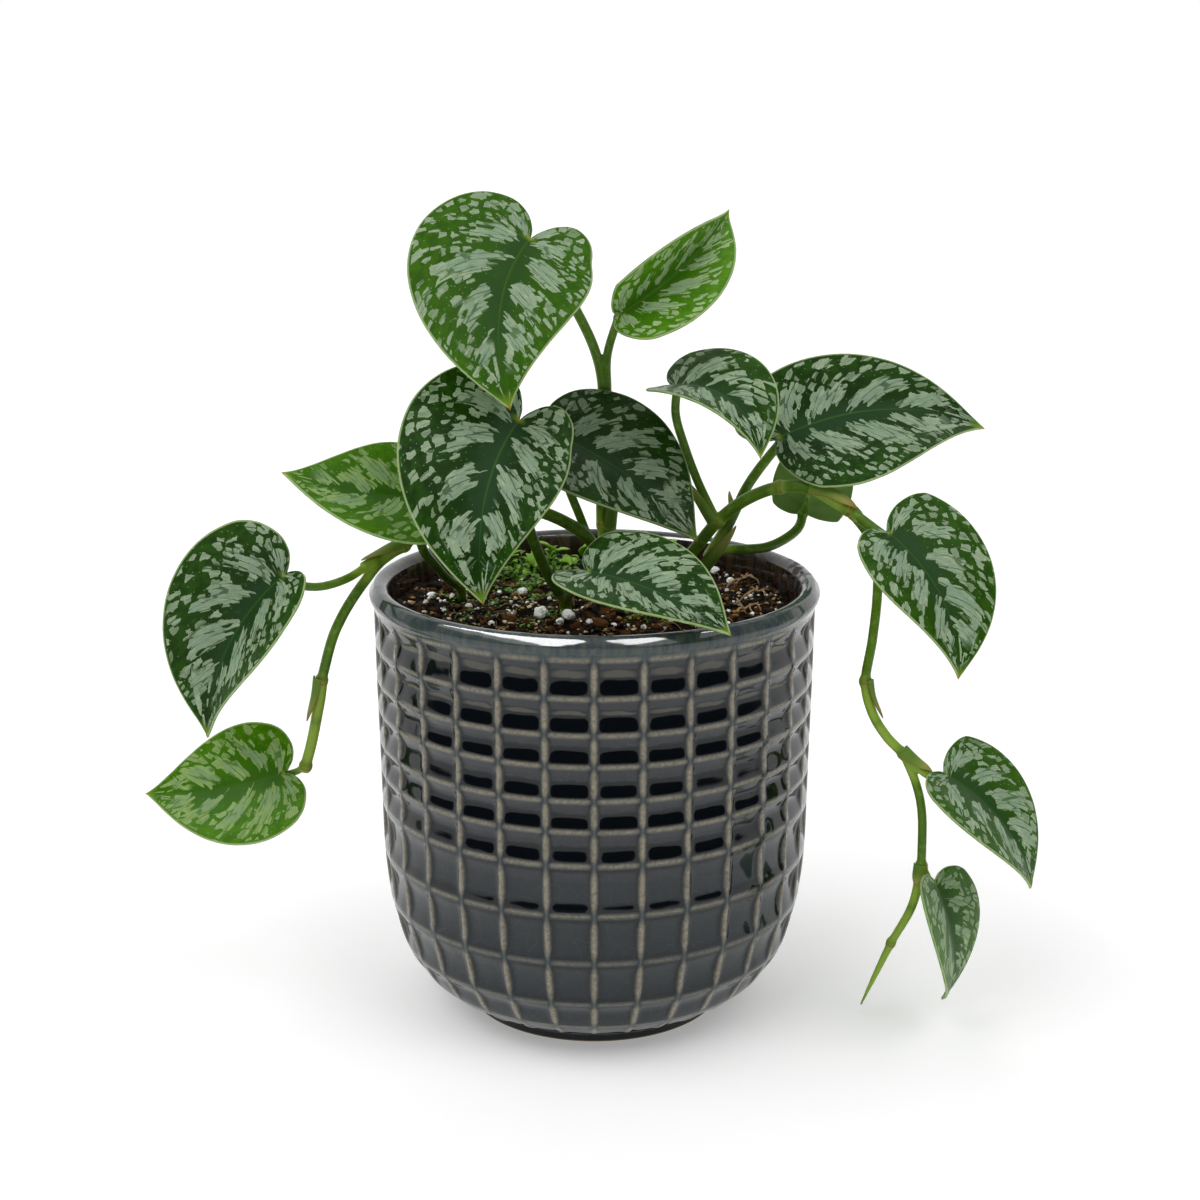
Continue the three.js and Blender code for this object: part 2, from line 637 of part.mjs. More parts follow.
add('pot', potGeometry(), paint('#39444a', 0.2));
add('soil', toGeometry(soil()), paint('#2a1c14', 1));
add('vine_right', toGeometry(vineRight()), paint('#5c7f22', 0.5));
add('vine_left', toGeometry(vineLeft()), paint('#5c7f22', 0.5));
add('stem_upright', toGeometry(stemUpright()), paint('#5f8420', 0.5));
add('stem_front', toGeometry(stemFront()), paint('#3f6a1c', 0.5));
add('stem_back', toGeometry(stemBack()), paint('#5f8420', 0.5));
add('petiole_left', toGeometry(petioleLeft()), paint('#34561a', 0.5));
LEAVES.forEach((leaf, index) => {
  add(`leaf_${index + 1}`, bladeGeometry(leaf), paint('#2f5a26', 0.45));
});

export default pothos;
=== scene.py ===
"""The looks of the satin pothos in its glazed pot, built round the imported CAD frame.

Lengths are millimetres up to the point where a mesh is made; MM turns them into metres. The formulas for
the pot, the stems and the leaves are those of the CAD source, so each finer piece keeps its node's form.
-Y is the front of the plant and z = 0 is the floor.
"""

import math

import bmesh
import bpy
import numpy as np
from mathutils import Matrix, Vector, noise


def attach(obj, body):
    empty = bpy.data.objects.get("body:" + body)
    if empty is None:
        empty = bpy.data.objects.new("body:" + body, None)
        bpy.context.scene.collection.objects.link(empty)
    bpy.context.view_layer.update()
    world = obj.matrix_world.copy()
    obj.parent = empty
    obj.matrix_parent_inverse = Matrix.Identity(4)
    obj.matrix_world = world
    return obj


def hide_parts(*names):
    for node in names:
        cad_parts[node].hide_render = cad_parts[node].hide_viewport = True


MM = 0.001
SEED = 7
X_AXIS, Y_AXIS, Z_AXIS = np.eye(3)

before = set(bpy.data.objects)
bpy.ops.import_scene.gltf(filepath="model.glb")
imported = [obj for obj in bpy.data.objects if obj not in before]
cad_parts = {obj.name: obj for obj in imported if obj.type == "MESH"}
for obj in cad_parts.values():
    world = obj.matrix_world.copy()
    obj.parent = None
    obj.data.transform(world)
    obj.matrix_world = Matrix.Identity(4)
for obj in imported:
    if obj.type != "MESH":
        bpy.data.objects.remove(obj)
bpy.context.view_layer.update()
scene = bpy.context.scene

# ---------------------------------------------------------------- driving dimensions, as in the CAD source

WALL_RADIUS = 68.9
WALL_TAPER = 0.017
BELLY_HEIGHT = 75
BELLY_POWER = 3.8
WALL_THICKNESS = 5.8
FOOT_RADIUS = 41
FOOT_HEIGHT = 3.5
FOOT_CHAMFER = 0.8
COLUMNS = 30
ROW_HEIGHTS = [11.5, 11, 9.5, 10.5, 9.5, 10.5, 16, 15.5, 15, 10.5, 8.5]  # from the top
CELL_DEPTH = 1.5
BEAD_RADIUS = 3.2
BEAD_HEIGHT = 135.2
BEAD_CENTRE = 67.1
RIM_FACE_TURN = 34  # the upper front of the bead is nearly flat; angles in degrees
RIM_FACE_HALF = 26
RIM_FACE_FLATNESS = 0.8
CAVITY_FLOOR = 8
CAVITY_CORNER = 20
NET_TOP = FOOT_HEIGHT + sum(ROW_HEIGHTS)

GAP = 0.3
SOIL_LEVEL = 127.5
SOIL_MOUND = 2.5
SOIL_LUMP = 0.8
SOIL_BANK = 1.8  # how much higher the mix lies at the wall
SOIL_REACH = 60  # loose bits lie within this radius
ROOT_DEPTH = 14

BLADE_THICKNESS = 0.75
CROSS_CURVE = 0.22
SEAT_SHARE = 0.03
MIDRIB_STEPS = 24

INSET = 0.15  # the finer pieces stay this far inside the flats of the CAD solids

# ---------------------------------------------------------------- helpers for numbers


def smoothstep(value, low, high):
    share = np.clip((np.asarray(value, float) - low) / (high - low), 0, 1)
    return share * share * (3 - 2 * share)


def bump_at(distance, width):
    return np.exp(-((np.asarray(distance, float) / width) ** 2))


def catmull_rom(places, shares):
    """The same smooth curve as in the CAD source, at shares from 0 to 1 of its list of places."""
    places = np.asarray(places, float)
    ends = 2 * places[0] - places[1], 2 * places[-1] - places[-2]
    padded = np.vstack([ends[0], places, ends[1]])
    position = np.clip(np.asarray(shares, float), 0, 1) * (len(places) - 1)
    index = np.minimum(position.astype(int), len(places) - 2)
    w = (position - index)[:, None]
    before, start, end, after = (padded[index + k] for k in range(4))
    leave, arrive = (end - before) / 2, (after - start) / 2
    return (
        (2 * w**3 - 3 * w**2 + 1) * start
        + (w**3 - 2 * w**2 + w) * leave
        + (3 * w**2 - 2 * w**3) * end
        + (w**3 - w**2) * arrive
    )


def along_route(route, count):
    """Places along a route: straight between two points, smooth through more."""
    places = np.asarray(route, float)
    shares = np.linspace(0, 1, count)
    if len(places) == 2:
        return places[0] + (places[1] - places[0]) * shares[:, None]
    return catmull_rom(places, shares)


def spread(values, count):
    """A few values, spread evenly over count places."""
    return np.interp(np.linspace(0, 1, count), np.linspace(0, 1, len(values)), values)


def turned(vector, axis, angle):
    cosine, sine = math.cos(angle), math.sin(angle)
    return vector * cosine + np.cross(axis, vector) * sine + axis * np.dot(axis, vector) * (1 - cosine)


def unit(vector):
    vector = np.asarray(vector, float)
    return vector / np.linalg.norm(vector, axis=-1, keepdims=True)


def arc(centre, first, second, turns, size):
    """Points round a centre in the plane of two directions."""
    return centre + size * (np.cos(turns)[:, None] * first + np.sin(turns)[:, None] * second)


def noise_at(points, wavelength, seed=0):
    """Smooth noise from about -0.5 to 0.5 at each place, all in millimetres."""
    shift = Vector((seed * 17.3, seed * 5.9, seed * 11.1))
    return np.array([noise.noise(Vector(p) / wavelength + shift) for p in np.asarray(points, float)])


# ---------------------------------------------------------------- helpers for meshes


def make_object(name, points, faces, material, attributes, weld=0.0, split=()):
    """A smooth shaded mesh object with per-point attributes; weld joins points closer than that. The
    attributes named in split keep their own value in each face, as two faces may meet with different ones."""
    mesh = bpy.data.meshes.new(name)
    mesh.from_pydata((np.asarray(points, float) * MM).tolist(), [], [tuple(map(int, f)) for f in faces])
    for key, values in attributes.items():
        values = np.asarray(values, np.float32)
        vector = values.ndim == 2
        if key in split:
            corners = np.empty(len(mesh.loops), np.int32)
            mesh.loops.foreach_get("vertex_index", corners)
            values = values[corners]
        domain = "CORNER" if key in split else "POINT"
        layer = mesh.attributes.new(key, "FLOAT_VECTOR" if vector else "FLOAT", domain)
        layer.data.foreach_set("vector" if vector else "value", values.ravel())
    if weld:
        bm = bmesh.new()
        bm.from_mesh(mesh)
        bmesh.ops.remove_doubles(bm, verts=bm.verts, dist=weld * MM)
        bmesh.ops.recalc_face_normals(bm, faces=bm.faces)
        bm.to_mesh(mesh)
        bm.free()
    mesh.update()
    mesh.shade_smooth()
    mesh.materials.append(material)
    return link_object(name, mesh)


def link_object(name, data):
    made = bpy.data.objects.new(name, data)
    scene.collection.objects.link(made)
    return made


def add_piece(obj, slot, *nodes):
    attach(obj, "root")
    if nodes:
        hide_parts(*nodes)


def grid_faces(rows, columns, start=0, wrap=False, flip=False):
    """Quads of a grid of points kept row by row."""
    r, c = np.meshgrid(np.arange(rows - 1), np.arange(columns if wrap else columns - 1), indexing="ij")
    here, after = r * columns + c, r * columns + (c + 1) % columns
    quads = np.stack([here, after, after + columns, here + columns], -1).reshape(-1, 4) + start
    return quads[:, ::-1] if flip else quads


class Pile:
    """Points, faces and attribute values of many small parts that become one object."""

    def __init__(self):
        self.points = []
        self.faces = []
        self.values = {}
        self.count = 0

    def add(self, points, faces, **values):
        points = np.asarray(points, float)
        self.faces.extend([tuple(int(k) + self.count for k in face) for face in faces])
        self.points.append(points)
        self.count += len(points)
        for key, value in values.items():
            value = np.asarray(value, float)
            if value.ndim == 0:
                value = np.repeat(value, len(points))
            self.values.setdefault(key, []).append(value)

    def make(self, name, material, weld=0.0, split=()):
        values = {key: np.concatenate(parts) for key, parts in self.values.items()}
        return make_object(name, np.vstack(self.points), self.faces, material, values, weld, split)


# ---------------------------------------------------------------- helpers for materials


def colour(code):
    """A linear colour from a code such as "#8fa58a"."""
    parts = [int(code[i : i + 2], 16) / 255 for i in (1, 3, 5)]
    return (*[p / 12.92 if p <= 0.04045 else ((p + 0.055) / 1.055) ** 2.4 for p in parts], 1)


class Graph:
    """A short way to write the node tree of a material or the world."""

    def __init__(self, owner):
        owner.use_nodes = True
        self.tree = owner.node_tree
        self.tree.nodes.clear()

    def node(self, kind, inputs, output=0, **settings):
        """Adds a node and gives one of its outputs. Inputs are values, numbers or colour codes."""
        made = self.tree.nodes.new(f"ShaderNode{kind}")
        for key, value in settings.items():
            setattr(made, key, value)
        for key, value in inputs.items():
            if isinstance(value, Value):
                self.tree.links.new(value.socket, made.inputs[key])
            else:
                made.inputs[key].default_value = colour(value) if isinstance(value, str) else value
        return Value(self, made.outputs[output]) if made.outputs else None

    def attribute(self, name):
        return self.node("Attribute", {}, "Fac", attribute_name=name)

    def vector(self, name):
        """The three parts of a vector attribute."""
        return self.node("Attribute", {}, "Vector", attribute_name=name).parts()

    def join(self, x, y, z=0.0):
        return self.node("CombineXYZ", {0: x, 1: y, 2: z})

    def place(self):
        return self.node("TexCoord", {}, "Object")

    def surface(self, **inputs):
        shader = self.node("BsdfPrincipled", {key.replace("_", " "): value for key, value in inputs.items()})
        self.node("OutputMaterial", {0: shader})


class Value:
    """An output of a node. Reckoning with it adds the nodes that work out the result."""

    def __init__(self, graph, socket):
        self.graph = graph
        self.socket = socket
        self.node = graph.node

    def other(self, name):
        """Another output of the same node."""
        return Value(self.graph, self.socket.node.outputs[name])

    def math(self, operation, other=0.0):
        return self.node("Math", {0: self, 1: other}, operation=operation)

    def __add__(self, other):
        return self.math("ADD", other)

    def __sub__(self, other):
        return self.math("SUBTRACT", other)

    def __rsub__(self, other):
        return self.node("Math", {0: other, 1: self}, operation="SUBTRACT")

    def __mul__(self, other):
        return self.math("MULTIPLY", other)

    def __truediv__(self, other):
        return self.math("DIVIDE", other)

    def __pow__(self, other):
        return self.math("POWER", other)

    def __gt__(self, other):
        return self.math("GREATER_THAN", other)

    def __lt__(self, other):
        return self.math("LESS_THAN", other)

    def __abs__(self):
        return self.math("ABSOLUTE")

    def max(self, other):
        return self.math("MAXIMUM", other)

    def line(self, low, high, to_low=0.0, to_high=1.0, **settings):
        """A straight change from to_low to to_high as the value goes from low to high."""
        return self.node("MapRange", {0: self, 1: low, 2: high, 3: to_low, 4: to_high}, **settings)

    def ramp(self, *limits):
        """The same as line, with a smooth start and end."""
        return self.line(*limits, interpolation_type="SMOOTHSTEP")

    def to(self, low, high):
        """From low where the value is 0 to high where it is 1."""
        return self.line(0, 1, low, high)

    def between(self, low, high):
        """The colour low where the value is 0 and high where it is 1."""
        return self.node("Mix", {0: self, 6: low, 7: high}, 2, data_type="RGBA")

    def paint(self, tint, amount):
        """This colour with an amount of another laid over it."""
        return self.node("Mix", {0: amount, 6: self, 7: tint}, 2, data_type="RGBA")

    def parts(self):
        split = self.node("SeparateXYZ", {0: self}).socket.node
        return [Value(self.graph, socket) for socket in split.outputs]

    def vector(self, operation, other, output=0):
        return self.node("VectorMath", {0: self, 1: other}, output, operation=operation)

    def scaled(self, x, y, z):
        return self.vector("MULTIPLY", (x, y, z))

    def luck(self):
        """Three random numbers for each whole number."""
        return self.node("TexWhiteNoise", {"W": self}, "Color", noise_dimensions="1D").parts()

    def noise(self, scale, detail=2.0, rough=0.5, output=0):
        inputs = {"Vector": self, "Scale": scale, "Detail": detail, "Roughness": rough, "Distortion": 0.0}
        return self.node("TexNoise", inputs, output)

    def cells(self, scale, randomness=1.0, dimensions="3D", feature="F1"):
        inputs = {"Vector": self, "Scale": scale, "Randomness": randomness}
        return self.node("TexVoronoi", inputs, feature=feature, voronoi_dimensions=dimensions)

    def borders(self, *settings):
        """Distance to the nearest border of those cells; takes what cells takes."""
        return self.cells(*settings, feature="DISTANCE_TO_EDGE")

    def bump(self, distance, strength, **normal):
        return self.node("Bump", {"Height": self, "Distance": distance, "Strength": strength, **normal})


def new_material(name, write):
    """A material whose node tree is written by a function."""
    material = bpy.data.materials.new(name)
    write(Graph(material))
    return material


# ---------------------------------------------------------------- materials

STREAK_WIDTH = 1.7  # the narrow cells of a broad blotch
STREAK_LENGTH = 3.0
STREAK_RANDOMNESS = 0.62
SPOT_SIZE = 3.8
SPOT_RANDOMNESS = 0.75
SLIT_GAP = 2.6
SLIT_LENGTH = 13
TIP_ACROSS = 4.5  # cells of the long streaks near the tip, across half a blade and along a whole one
TIP_ALONG = 9.0


def leaf_material(g):
    """Satin green with one broad silver blotch between two veins and small spots nearer the edge."""
    across, along, vein_gap = g.vector("veins")  # all in millimetres
    u, share, rim = g.vector("blade")
    young, side, slope = g.vector("leaf")  # slope: share gained per mm along a vein
    place = g.place()

    # wobble the cells a little, so that their sides are not straight
    flat = g.join(across, along)
    wobble = flat.noise(0.75, output="Color").vector("SUBTRACT", (0.5, 0.5, 0.5))
    wobbled, more_wobbled = (wobble.scaled(reach, reach, 0).vector("ADD", flat) for reach in (0.8, 1.5))

    # broad blotches: narrow cells along the veins, kept where they lie in an oval between two veins
    fine = wobbled.scaled(1 / STREAK_WIDTH, 1 / STREAK_LENGTH, 1)
    streak = fine.cells(1, STREAK_RANDOMNESS, "2D")
    border = fine.borders(1, STREAK_RANDOMNESS, "2D")
    draw, _, draw_three = streak.other("Color").parts()
    centre = streak.other("Position").scaled(STREAK_WIDTH, STREAK_LENGTH, 0)
    centre_across, centre_along, _ = centre.parts()
    centre_share = share + (centre_along - along) * slope
    band = centre_across / vein_gap
    start_luck, end_luck, width_luck = band.math("FLOOR").luck()
    tone_luck = ((start_luck + end_luck) * 7).math("FRACT")
    start = start_luck.to(0.05, 0.16)
    end = end_luck.to(0.5, 0.76)
    beside = (band.math("FRACT") - 0.5) / width_luck.to(0.27, 0.42)
    ahead = (centre_share - (start + end) * 0.5) / ((end - start) * 0.5)
    oval = 1 - (abs(beside) ** 3 + ahead * ahead)
    patchy = centre.noise(0.22, 1).line(0.3, 0.7, -0.65, 0.4)
    amount = oval + (draw.to(-0.38, 0.38) + patchy)
    single = (draw_three > 0.86) * centre_share.ramp(0.18, 0.22) * border.ramp(0.04, 0.1)
    blotch = amount.ramp(-0.02, 0.02).max(single)
    # thin green slits run through the blotches along the veins
    slits = wobbled.scaled(1 / SLIT_GAP, 1 / SLIT_LENGTH, 1).borders(1, 0.9, "2D")
    slit_width = centre.noise(0.5, 1).ramp(0.4, 0.6, 0.01, 0.09)
    blotch = blotch * (slits - slit_width).ramp(-0.02, 0.02, 0.3, 1)

    # small separate spots
    round_at = more_wobbled.scaled(1 / SPOT_SIZE, 1 / SPOT_SIZE, 1)
    spot = round_at.cells(1, SPOT_RANDOMNESS, "2D")
    spot_border = round_at.borders(1, SPOT_RANDOMNESS, "2D")
    spot_draw, spot_two, spot_three = spot.other("Color").parts()
    _, spot_along, _ = spot.other("Position").scaled(SPOT_SIZE, SPOT_SIZE, 0).parts()
    spot_share = share + (spot_along - along) * slope
    kept = (spot_share + spot_draw.to(-0.12, 0.12)).ramp(0.42, 0.46) * (spot_two > 0.42)
    kept = kept * amount.ramp(-0.1, -0.3) * rim.ramp(0.9, 1.3)
    inward = spot_border - (spot_three**1.6).to(0.1, 0.29)  # from the edge of a spot
    spots = kept * inward.ramp(0, 0.03)

    # long streaks beside the midrib towards the tip
    tip_at = g.join(share * TIP_ACROSS, u * TIP_ALONG, g.attribute("half") * 3.7)
    tip_at = wobble.scaled(0.5, 0.5, 0).vector("ADD", tip_at)
    tip_draw, _, _ = tip_at.cells(1, 0.8).other("Color").parts()
    tip = (tip_draw > 0.42) * tip_at.borders(1, 0.8).ramp(0.07, 0.12)
    tip = tip * (u.ramp(0.64, 0.7) * u.ramp(0.97, 0.92))
    tip = tip * (share.ramp(0.07, 0.11) * share.ramp(0.75, 0.6))
    blotch = (blotch * u.ramp(0.85, 0.72)).max(tip)
    silver = blotch.max(spots * spot_draw.to(0.5, 1)) * u.ramp(0.985, 0.88) * side.ramp(-0.2, 0.2)

    # greens
    cloud = place.noise(90, 3)
    mottle = flat.noise(0.32, 3, 0.6)
    green = young.between(cloud.between("#0c2302", "#1f4305"), cloud.between("#326a00", "#548b08"))
    outward = share.ramp(0.3, 0.95) * mottle.ramp(0.38, 0.62, 0.1, 0.9)
    green = green.paint(young.between("#264f08", "#5a920a"), outward)
    middle_band = (share + mottle.to(-0.1, 0.1)).ramp(0.36, 0.06) * u.ramp(0.85, 0.6)
    green = green.paint("#264524", middle_band * young.to(0.85, 0.15))

    # silver: fine dark streaks along the veins and a paler outline round each spot
    streak_at = flat.scaled(3.3, 0.3, 1)
    lines = streak_at.noise(1, 2, 0.6).line(0.3, 0.7)
    grey = lines.between("#84a07a", "#c6d6b6")
    grey = grey.paint(lines.between("#84a756", "#b0cc7e"), young.ramp(0.35, 0.75))
    grey = grey.paint(lines.between("#9dbd78", "#cbe0ac"), young.ramp(0.8, 0.95))
    grey = grey.paint("#52704c", (tone_luck * 0.6 + draw_three) * 0.22)
    grey = grey.paint("#7c9a86", amount.ramp(0.1, 0.8) * 0.4)
    outline = inward.ramp(0.1, 0.03) * spots.ramp(0.2, 0.8)
    grey = grey.paint("#d2e0c4", outline * 0.35)
    paint = green.paint(grey, silver * 0.95)
    specks = flat.scaled(0.45, 0.45, 1).cells(1, 1, "2D")
    speck = specks.ramp(0.09, 0.05) * share.ramp(0.1, 0.2) * (specks.other("Color").parts()[0] > 0.6)
    paint = paint.paint("#b4c8ac", speck * 0.5)

    # midrib line, lateral veins, yellow-green notch and point, pale margin
    rib = share.ramp(0.018, 0.006) * u.ramp(0.98, 0.3, 0.25, 0.75)
    paint = paint.paint("#44701c", rib * 0.7)
    paint = paint.paint("#3d6a26", g.attribute("lateral").ramp(0.35, 1) * 0.3)
    paint = paint.paint("#9aae20", u.ramp(0.035, -0.01) * share.ramp(0.2, 0.02))
    paint = paint.paint("#7da02a", u.ramp(0.9, 0.985, 0, 0.85))
    paint = paint.paint("#a8be84", rim.ramp(0.75, 0.3) * 0.85)
    paint = paint.paint("#a8791e", u.ramp(0.972, 0.992))
    # painted shade: a leaf that lies in the shadow of others is darkened towards a deep green
    paint = paint.paint("#0a1806", g.attribute("dull"))

    below = cloud.between("#5a7c38", "#84a658").paint("#a3b860", share.ramp(0.07, 0.02))
    dimples = place.cells(5200)
    height = dimples * 0.5 + streak_at.noise(1.3) * 0.5 + silver * 0.6
    g.surface(
        Base_Color=paint.paint(below, side.ramp(0.2, -0.2)),
        Roughness=silver.to(0.36, 0.46),
        Specular_IOR_Level=0.1,
        Normal=height.bump(0.00008, 0.5),
        Sheen_Weight=0.01,
        Sheen_Roughness=0.4,
    )


def stem_material(g):
    """Green stems with thin brown ring lines and pale stretches."""
    ring, pale, shade = g.vector("stem")
    place = g.place()
    stretched = place.noise(420, 3, 0.6)
    green = place.noise(120).between("#375a08", "#618816")
    green = green.paint("#2b4a10", shade)
    green = green.paint("#8fae3a", pale)
    green = green.paint("#86a848", stretched.ramp(0.5, 0.7) * 0.35)
    green = green.paint("#93b35a", place.cells(900).ramp(0.16, 0.08) * 0.5)
    brown = stretched.between("#5a3a12", "#a5742c")
    g.surface(
        Base_Color=green.paint(brown, ring * stretched.ramp(0.25, 0.55, 0.35, 1)),
        Roughness=stretched.line(0.3, 0.7, 0.3, 0.5),
        Specular_IOR_Level=0.28,
        Normal=stretched.bump(0.0002, 0.45),
    )


def husk_material(g):
    """Dry papery sheath remains: pale green at the foot, brown at the torn edge."""
    along, _, dry = g.vector("husk")
    fibres = g.place().noise(700, 3, 0.7)
    paint = along.ramp(0.3, 1).between("#5f8420", "#9da04c")
    paint = paint.paint("#8a5c26", dry * fibres.ramp(0.25, 0.65, 0.5, 0.9))
    g.surface(Base_Color=paint, Roughness=0.7, Normal=fibres.bump(0.0002, 0.6))


# painted reflection: the near-black oblong in the lower part of each upper cell stands in for the dark room
# mirrored there
REFLECTION_HALF_WIDTH = 6.7  # the dark oblong in each upper cell of the pot
REFLECTION_CORNER = 0.9
LOW_REFLECTION = 5.1  # a higher one has a khaki patch above it
TALL_REFLECTION = 5.5
REFLECTION_RISE = 0.55  # its foot lies this far above the crest of the rib below


def glaze_material(g):
    """Blue-black glossy glaze that thins to khaki on the ribs, with a fine crackle."""
    upright, level, crest = g.vector("net")
    rim, inside, bare = g.vector("zone")
    off_centre, up, reflection_height = g.vector("cell")  # mm, mm, and height of the painted dark reflection
    drop = g.attribute("drop")  # mm below the crest of the rib above
    place = g.place()
    cloud = place.noise(55, 3, 0.55)
    grain = place.noise(900, 4, 0.7)
    streaks = place.scaled(500, 500, 60).noise(1)
    ripple = place.noise(240)
    has_reflection = reflection_height.ramp(0.5, 1.5)

    # a painted reflection of the dark room in the lower part of each upper cell: a dark oblong with round
    # corners
    reflection_half = reflection_height * 0.5
    sideways = (off_centre - (REFLECTION_HALF_WIDTH - REFLECTION_CORNER)).max(0)
    upwards = (abs(up - REFLECTION_RISE - reflection_half) - (reflection_half - REFLECTION_CORNER)).max(0)
    outside = (sideways * sideways + upwards * upwards).math("SQRT") + ripple.line(0.3, 0.7, -0.2, 0.2)
    in_reflection = outside.ramp(REFLECTION_CORNER + 0.3, REFLECTION_CORNER - 0.3) * has_reflection

    # the pillow of a cell, darker beside the ribs where there is no painted dark reflection
    glaze = up.ramp(2, 9).between("#1e262b", "#2c3335")
    glaze = glaze.paint("#1d262b", cloud.line(0.35, 0.65, 0, 0.5))
    beside_ribs = off_centre.ramp(3, 6).max(up.math("MINIMUM", drop).ramp(3.6, 1))
    glaze = glaze.paint("#131a20", beside_ribs * reflection_height.ramp(1.5, 0.5) * 0.7)

    # above the painted dark reflection a greyish shelf down to a thin dark line, and below that a khaki patch
    # in the tallest cells
    above = up - (reflection_height + REFLECTION_RISE) + ripple.line(0.3, 0.7, -0.35, 0.35)
    ledge = reflection_height.line(LOW_REFLECTION, TALL_REFLECTION, 0.2, 2.4)  # height of the khaki patch, mm
    over_ledge = above - ledge
    shelf = drop.ramp(0.7, 1.3) * drop.ramp(6.5, 4.5) * over_ledge.ramp(-0.2, 0.3) * has_reflection
    glaze = glaze.paint("#33353a", shelf * 0.8)
    glaze = glaze.paint("#12161a", abs(over_ledge).ramp(0.45, 0.1) * has_reflection * 0.65)
    patch_across = off_centre / 5
    patch_up = (above - ledge * 0.4) / (ledge * 0.62)
    patch = (patch_across * patch_across + patch_up * patch_up).ramp(1.4, 0.4) * ledge.ramp(0.4, 1.2)
    glaze = glaze.paint("#5d594c", patch * 0.65)
    # painted reflection of the dark room, near black
    glaze = glaze.paint("#04090e", in_reflection)

    # ribs, rim and cavity
    glaze = glaze.paint("#0c1317", g.attribute("flank").ramp(0.08, 0.5) * 0.8)
    glaze = glaze.paint("#2f3b3f", crest.ramp(0.2, 0.8) * 0.9)
    glaze = glaze.paint(streaks.ramp(0.3, 0.7).between("#334045", "#4b524d"), rim)
    thin = grain.ramp(0.25, 0.75).between("#736d5c", "#9d9582")
    on_level = level.line(0.1, 0.95) * reflection_height.ramp(0.5, 1.5, 0.4, 0.75)
    on_rib = upright.line(0.1, 0.9).max(on_level) * (grain + cloud).ramp(0.6, 1.1, 0.75, 1)
    glaze = glaze.paint(thin, on_rib)
    glaze = glaze.paint(streaks.ramp(0.4, 0.6).between("#2c1f1a", "#4c372c"), inside)

    # crackle lines: vertical on the rim, a wide mesh elsewhere
    on_rim = place.scaled(1, 1, 0.25).borders(260).ramp(0.02, 0.006) * (rim * 0.6)
    on_wall = place.borders(210).ramp(0.016, 0.006) * in_reflection.to(0.3, 0)
    glaze = glaze.paint("#5f6058", on_rim.max(on_wall) * 0.55)
    glaze = glaze.paint(grain.between("#6a5a40", "#a48f68"), bare)

    # soil dust wiped on the rim at the right of the back
    x, y, _ = place.parts()
    dusty = place.noise(160, 4, 0.7).ramp(0.45, 0.62)
    smear = x.ramp(0.045, 0.058) * y.ramp(-0.015, 0.005) * (rim + inside) * dusty
    wavy = place.noise(110, 1).bump(0.0016, 0.16)
    g.surface(
        Base_Color=glaze.paint("#2b2018", smear),
        Roughness=on_rib.to(0.07, 0.2) + bare * 0.6 + smear * 0.5,
        Specular_IOR_Level=0.37,
        Normal=grain.bump(0.00012, on_rib.to(0.03, 0.25), Normal=wavy),
    )


def soil_material(g):
    """Dark moist mix; each crumb has its own tint."""
    tint = g.attribute("tint")
    place = g.place()
    fine = place.noise(900, 4, 0.7)
    mid = place.noise(220, 3, 0.6)
    paint = mid.between("#030200", "#160c04")
    paint = paint.paint("#54330f", tint.ramp(0.4, 0.78))
    paint = paint.paint("#b08a52", tint.ramp(0.8, 0.86))
    paint = paint.paint("#f2e4c6", tint.ramp(0.92, 0.96))
    g.surface(
        Base_Color=paint.paint("#6b4a2e", fine.ramp(0.6, 0.75) * 0.3),
        Roughness=fine.line(0.3, 0.7, 0.5, 0.95),
        Specular_IOR_Level=0.12,
        Normal=(fine + mid).bump(0.0006, 0.8),
    )


def perlite_material(g):
    place = g.place()
    pores = place.cells(1500)
    paint = pores.ramp(0.2, 0.08).between("#ffffff", "#9a8f80")
    paint = paint.paint("#5f4d3e", place.noise(260, 3).ramp(0.6, 0.75))
    g.surface(Base_Color=paint, Roughness=0.85, Normal=pores.bump(0.0004, 0.8))


def fibre_material(g):
    """Dry roots, coir and wood splinters."""
    grain = g.place().noise(1100, 3, 0.7)
    paint = g.attribute("tint").between("#5c3c22", "#b5946c").paint("#7a583a", grain.ramp(0.4, 0.7))
    g.surface(Base_Color=paint, Roughness=0.8, Normal=grain.bump(0.0003, 0.6))


def moss_material(g):
    cloud = g.place().noise(300)
    paint = g.attribute("tint").between("#254d06", "#86b822").paint("#2c520c", cloud * 0.5)
    g.surface(Base_Color=paint, Roughness=0.55, Normal=cloud.bump(0.0002, 0.5))


def floor_material(g):
    paint = g.place().noise(3).between((0.84, 0.84, 0.84, 1), (0.86, 0.86, 0.86, 1))
    glow = dict(Emission_Color=(1, 1, 1, 1), Emission_Strength=0.3)  # keeps the shadows light
    g.surface(Base_Color=paint, Roughness=0.9, Specular_IOR_Level=0.1, **glow)


LEAF = new_material("leaf", leaf_material)
STEM = new_material("stem", stem_material)
HUSK = new_material("husk", husk_material)
GLAZE = new_material("glaze", glaze_material)
SOIL = new_material("soil", soil_material)
PERLITE = new_material("perlite", perlite_material)
FIBRE = new_material("fibre", fibre_material)
MOSS = new_material("moss", moss_material)
FLOOR = new_material("floor", floor_material)

# ---------------------------------------------------------------- pot

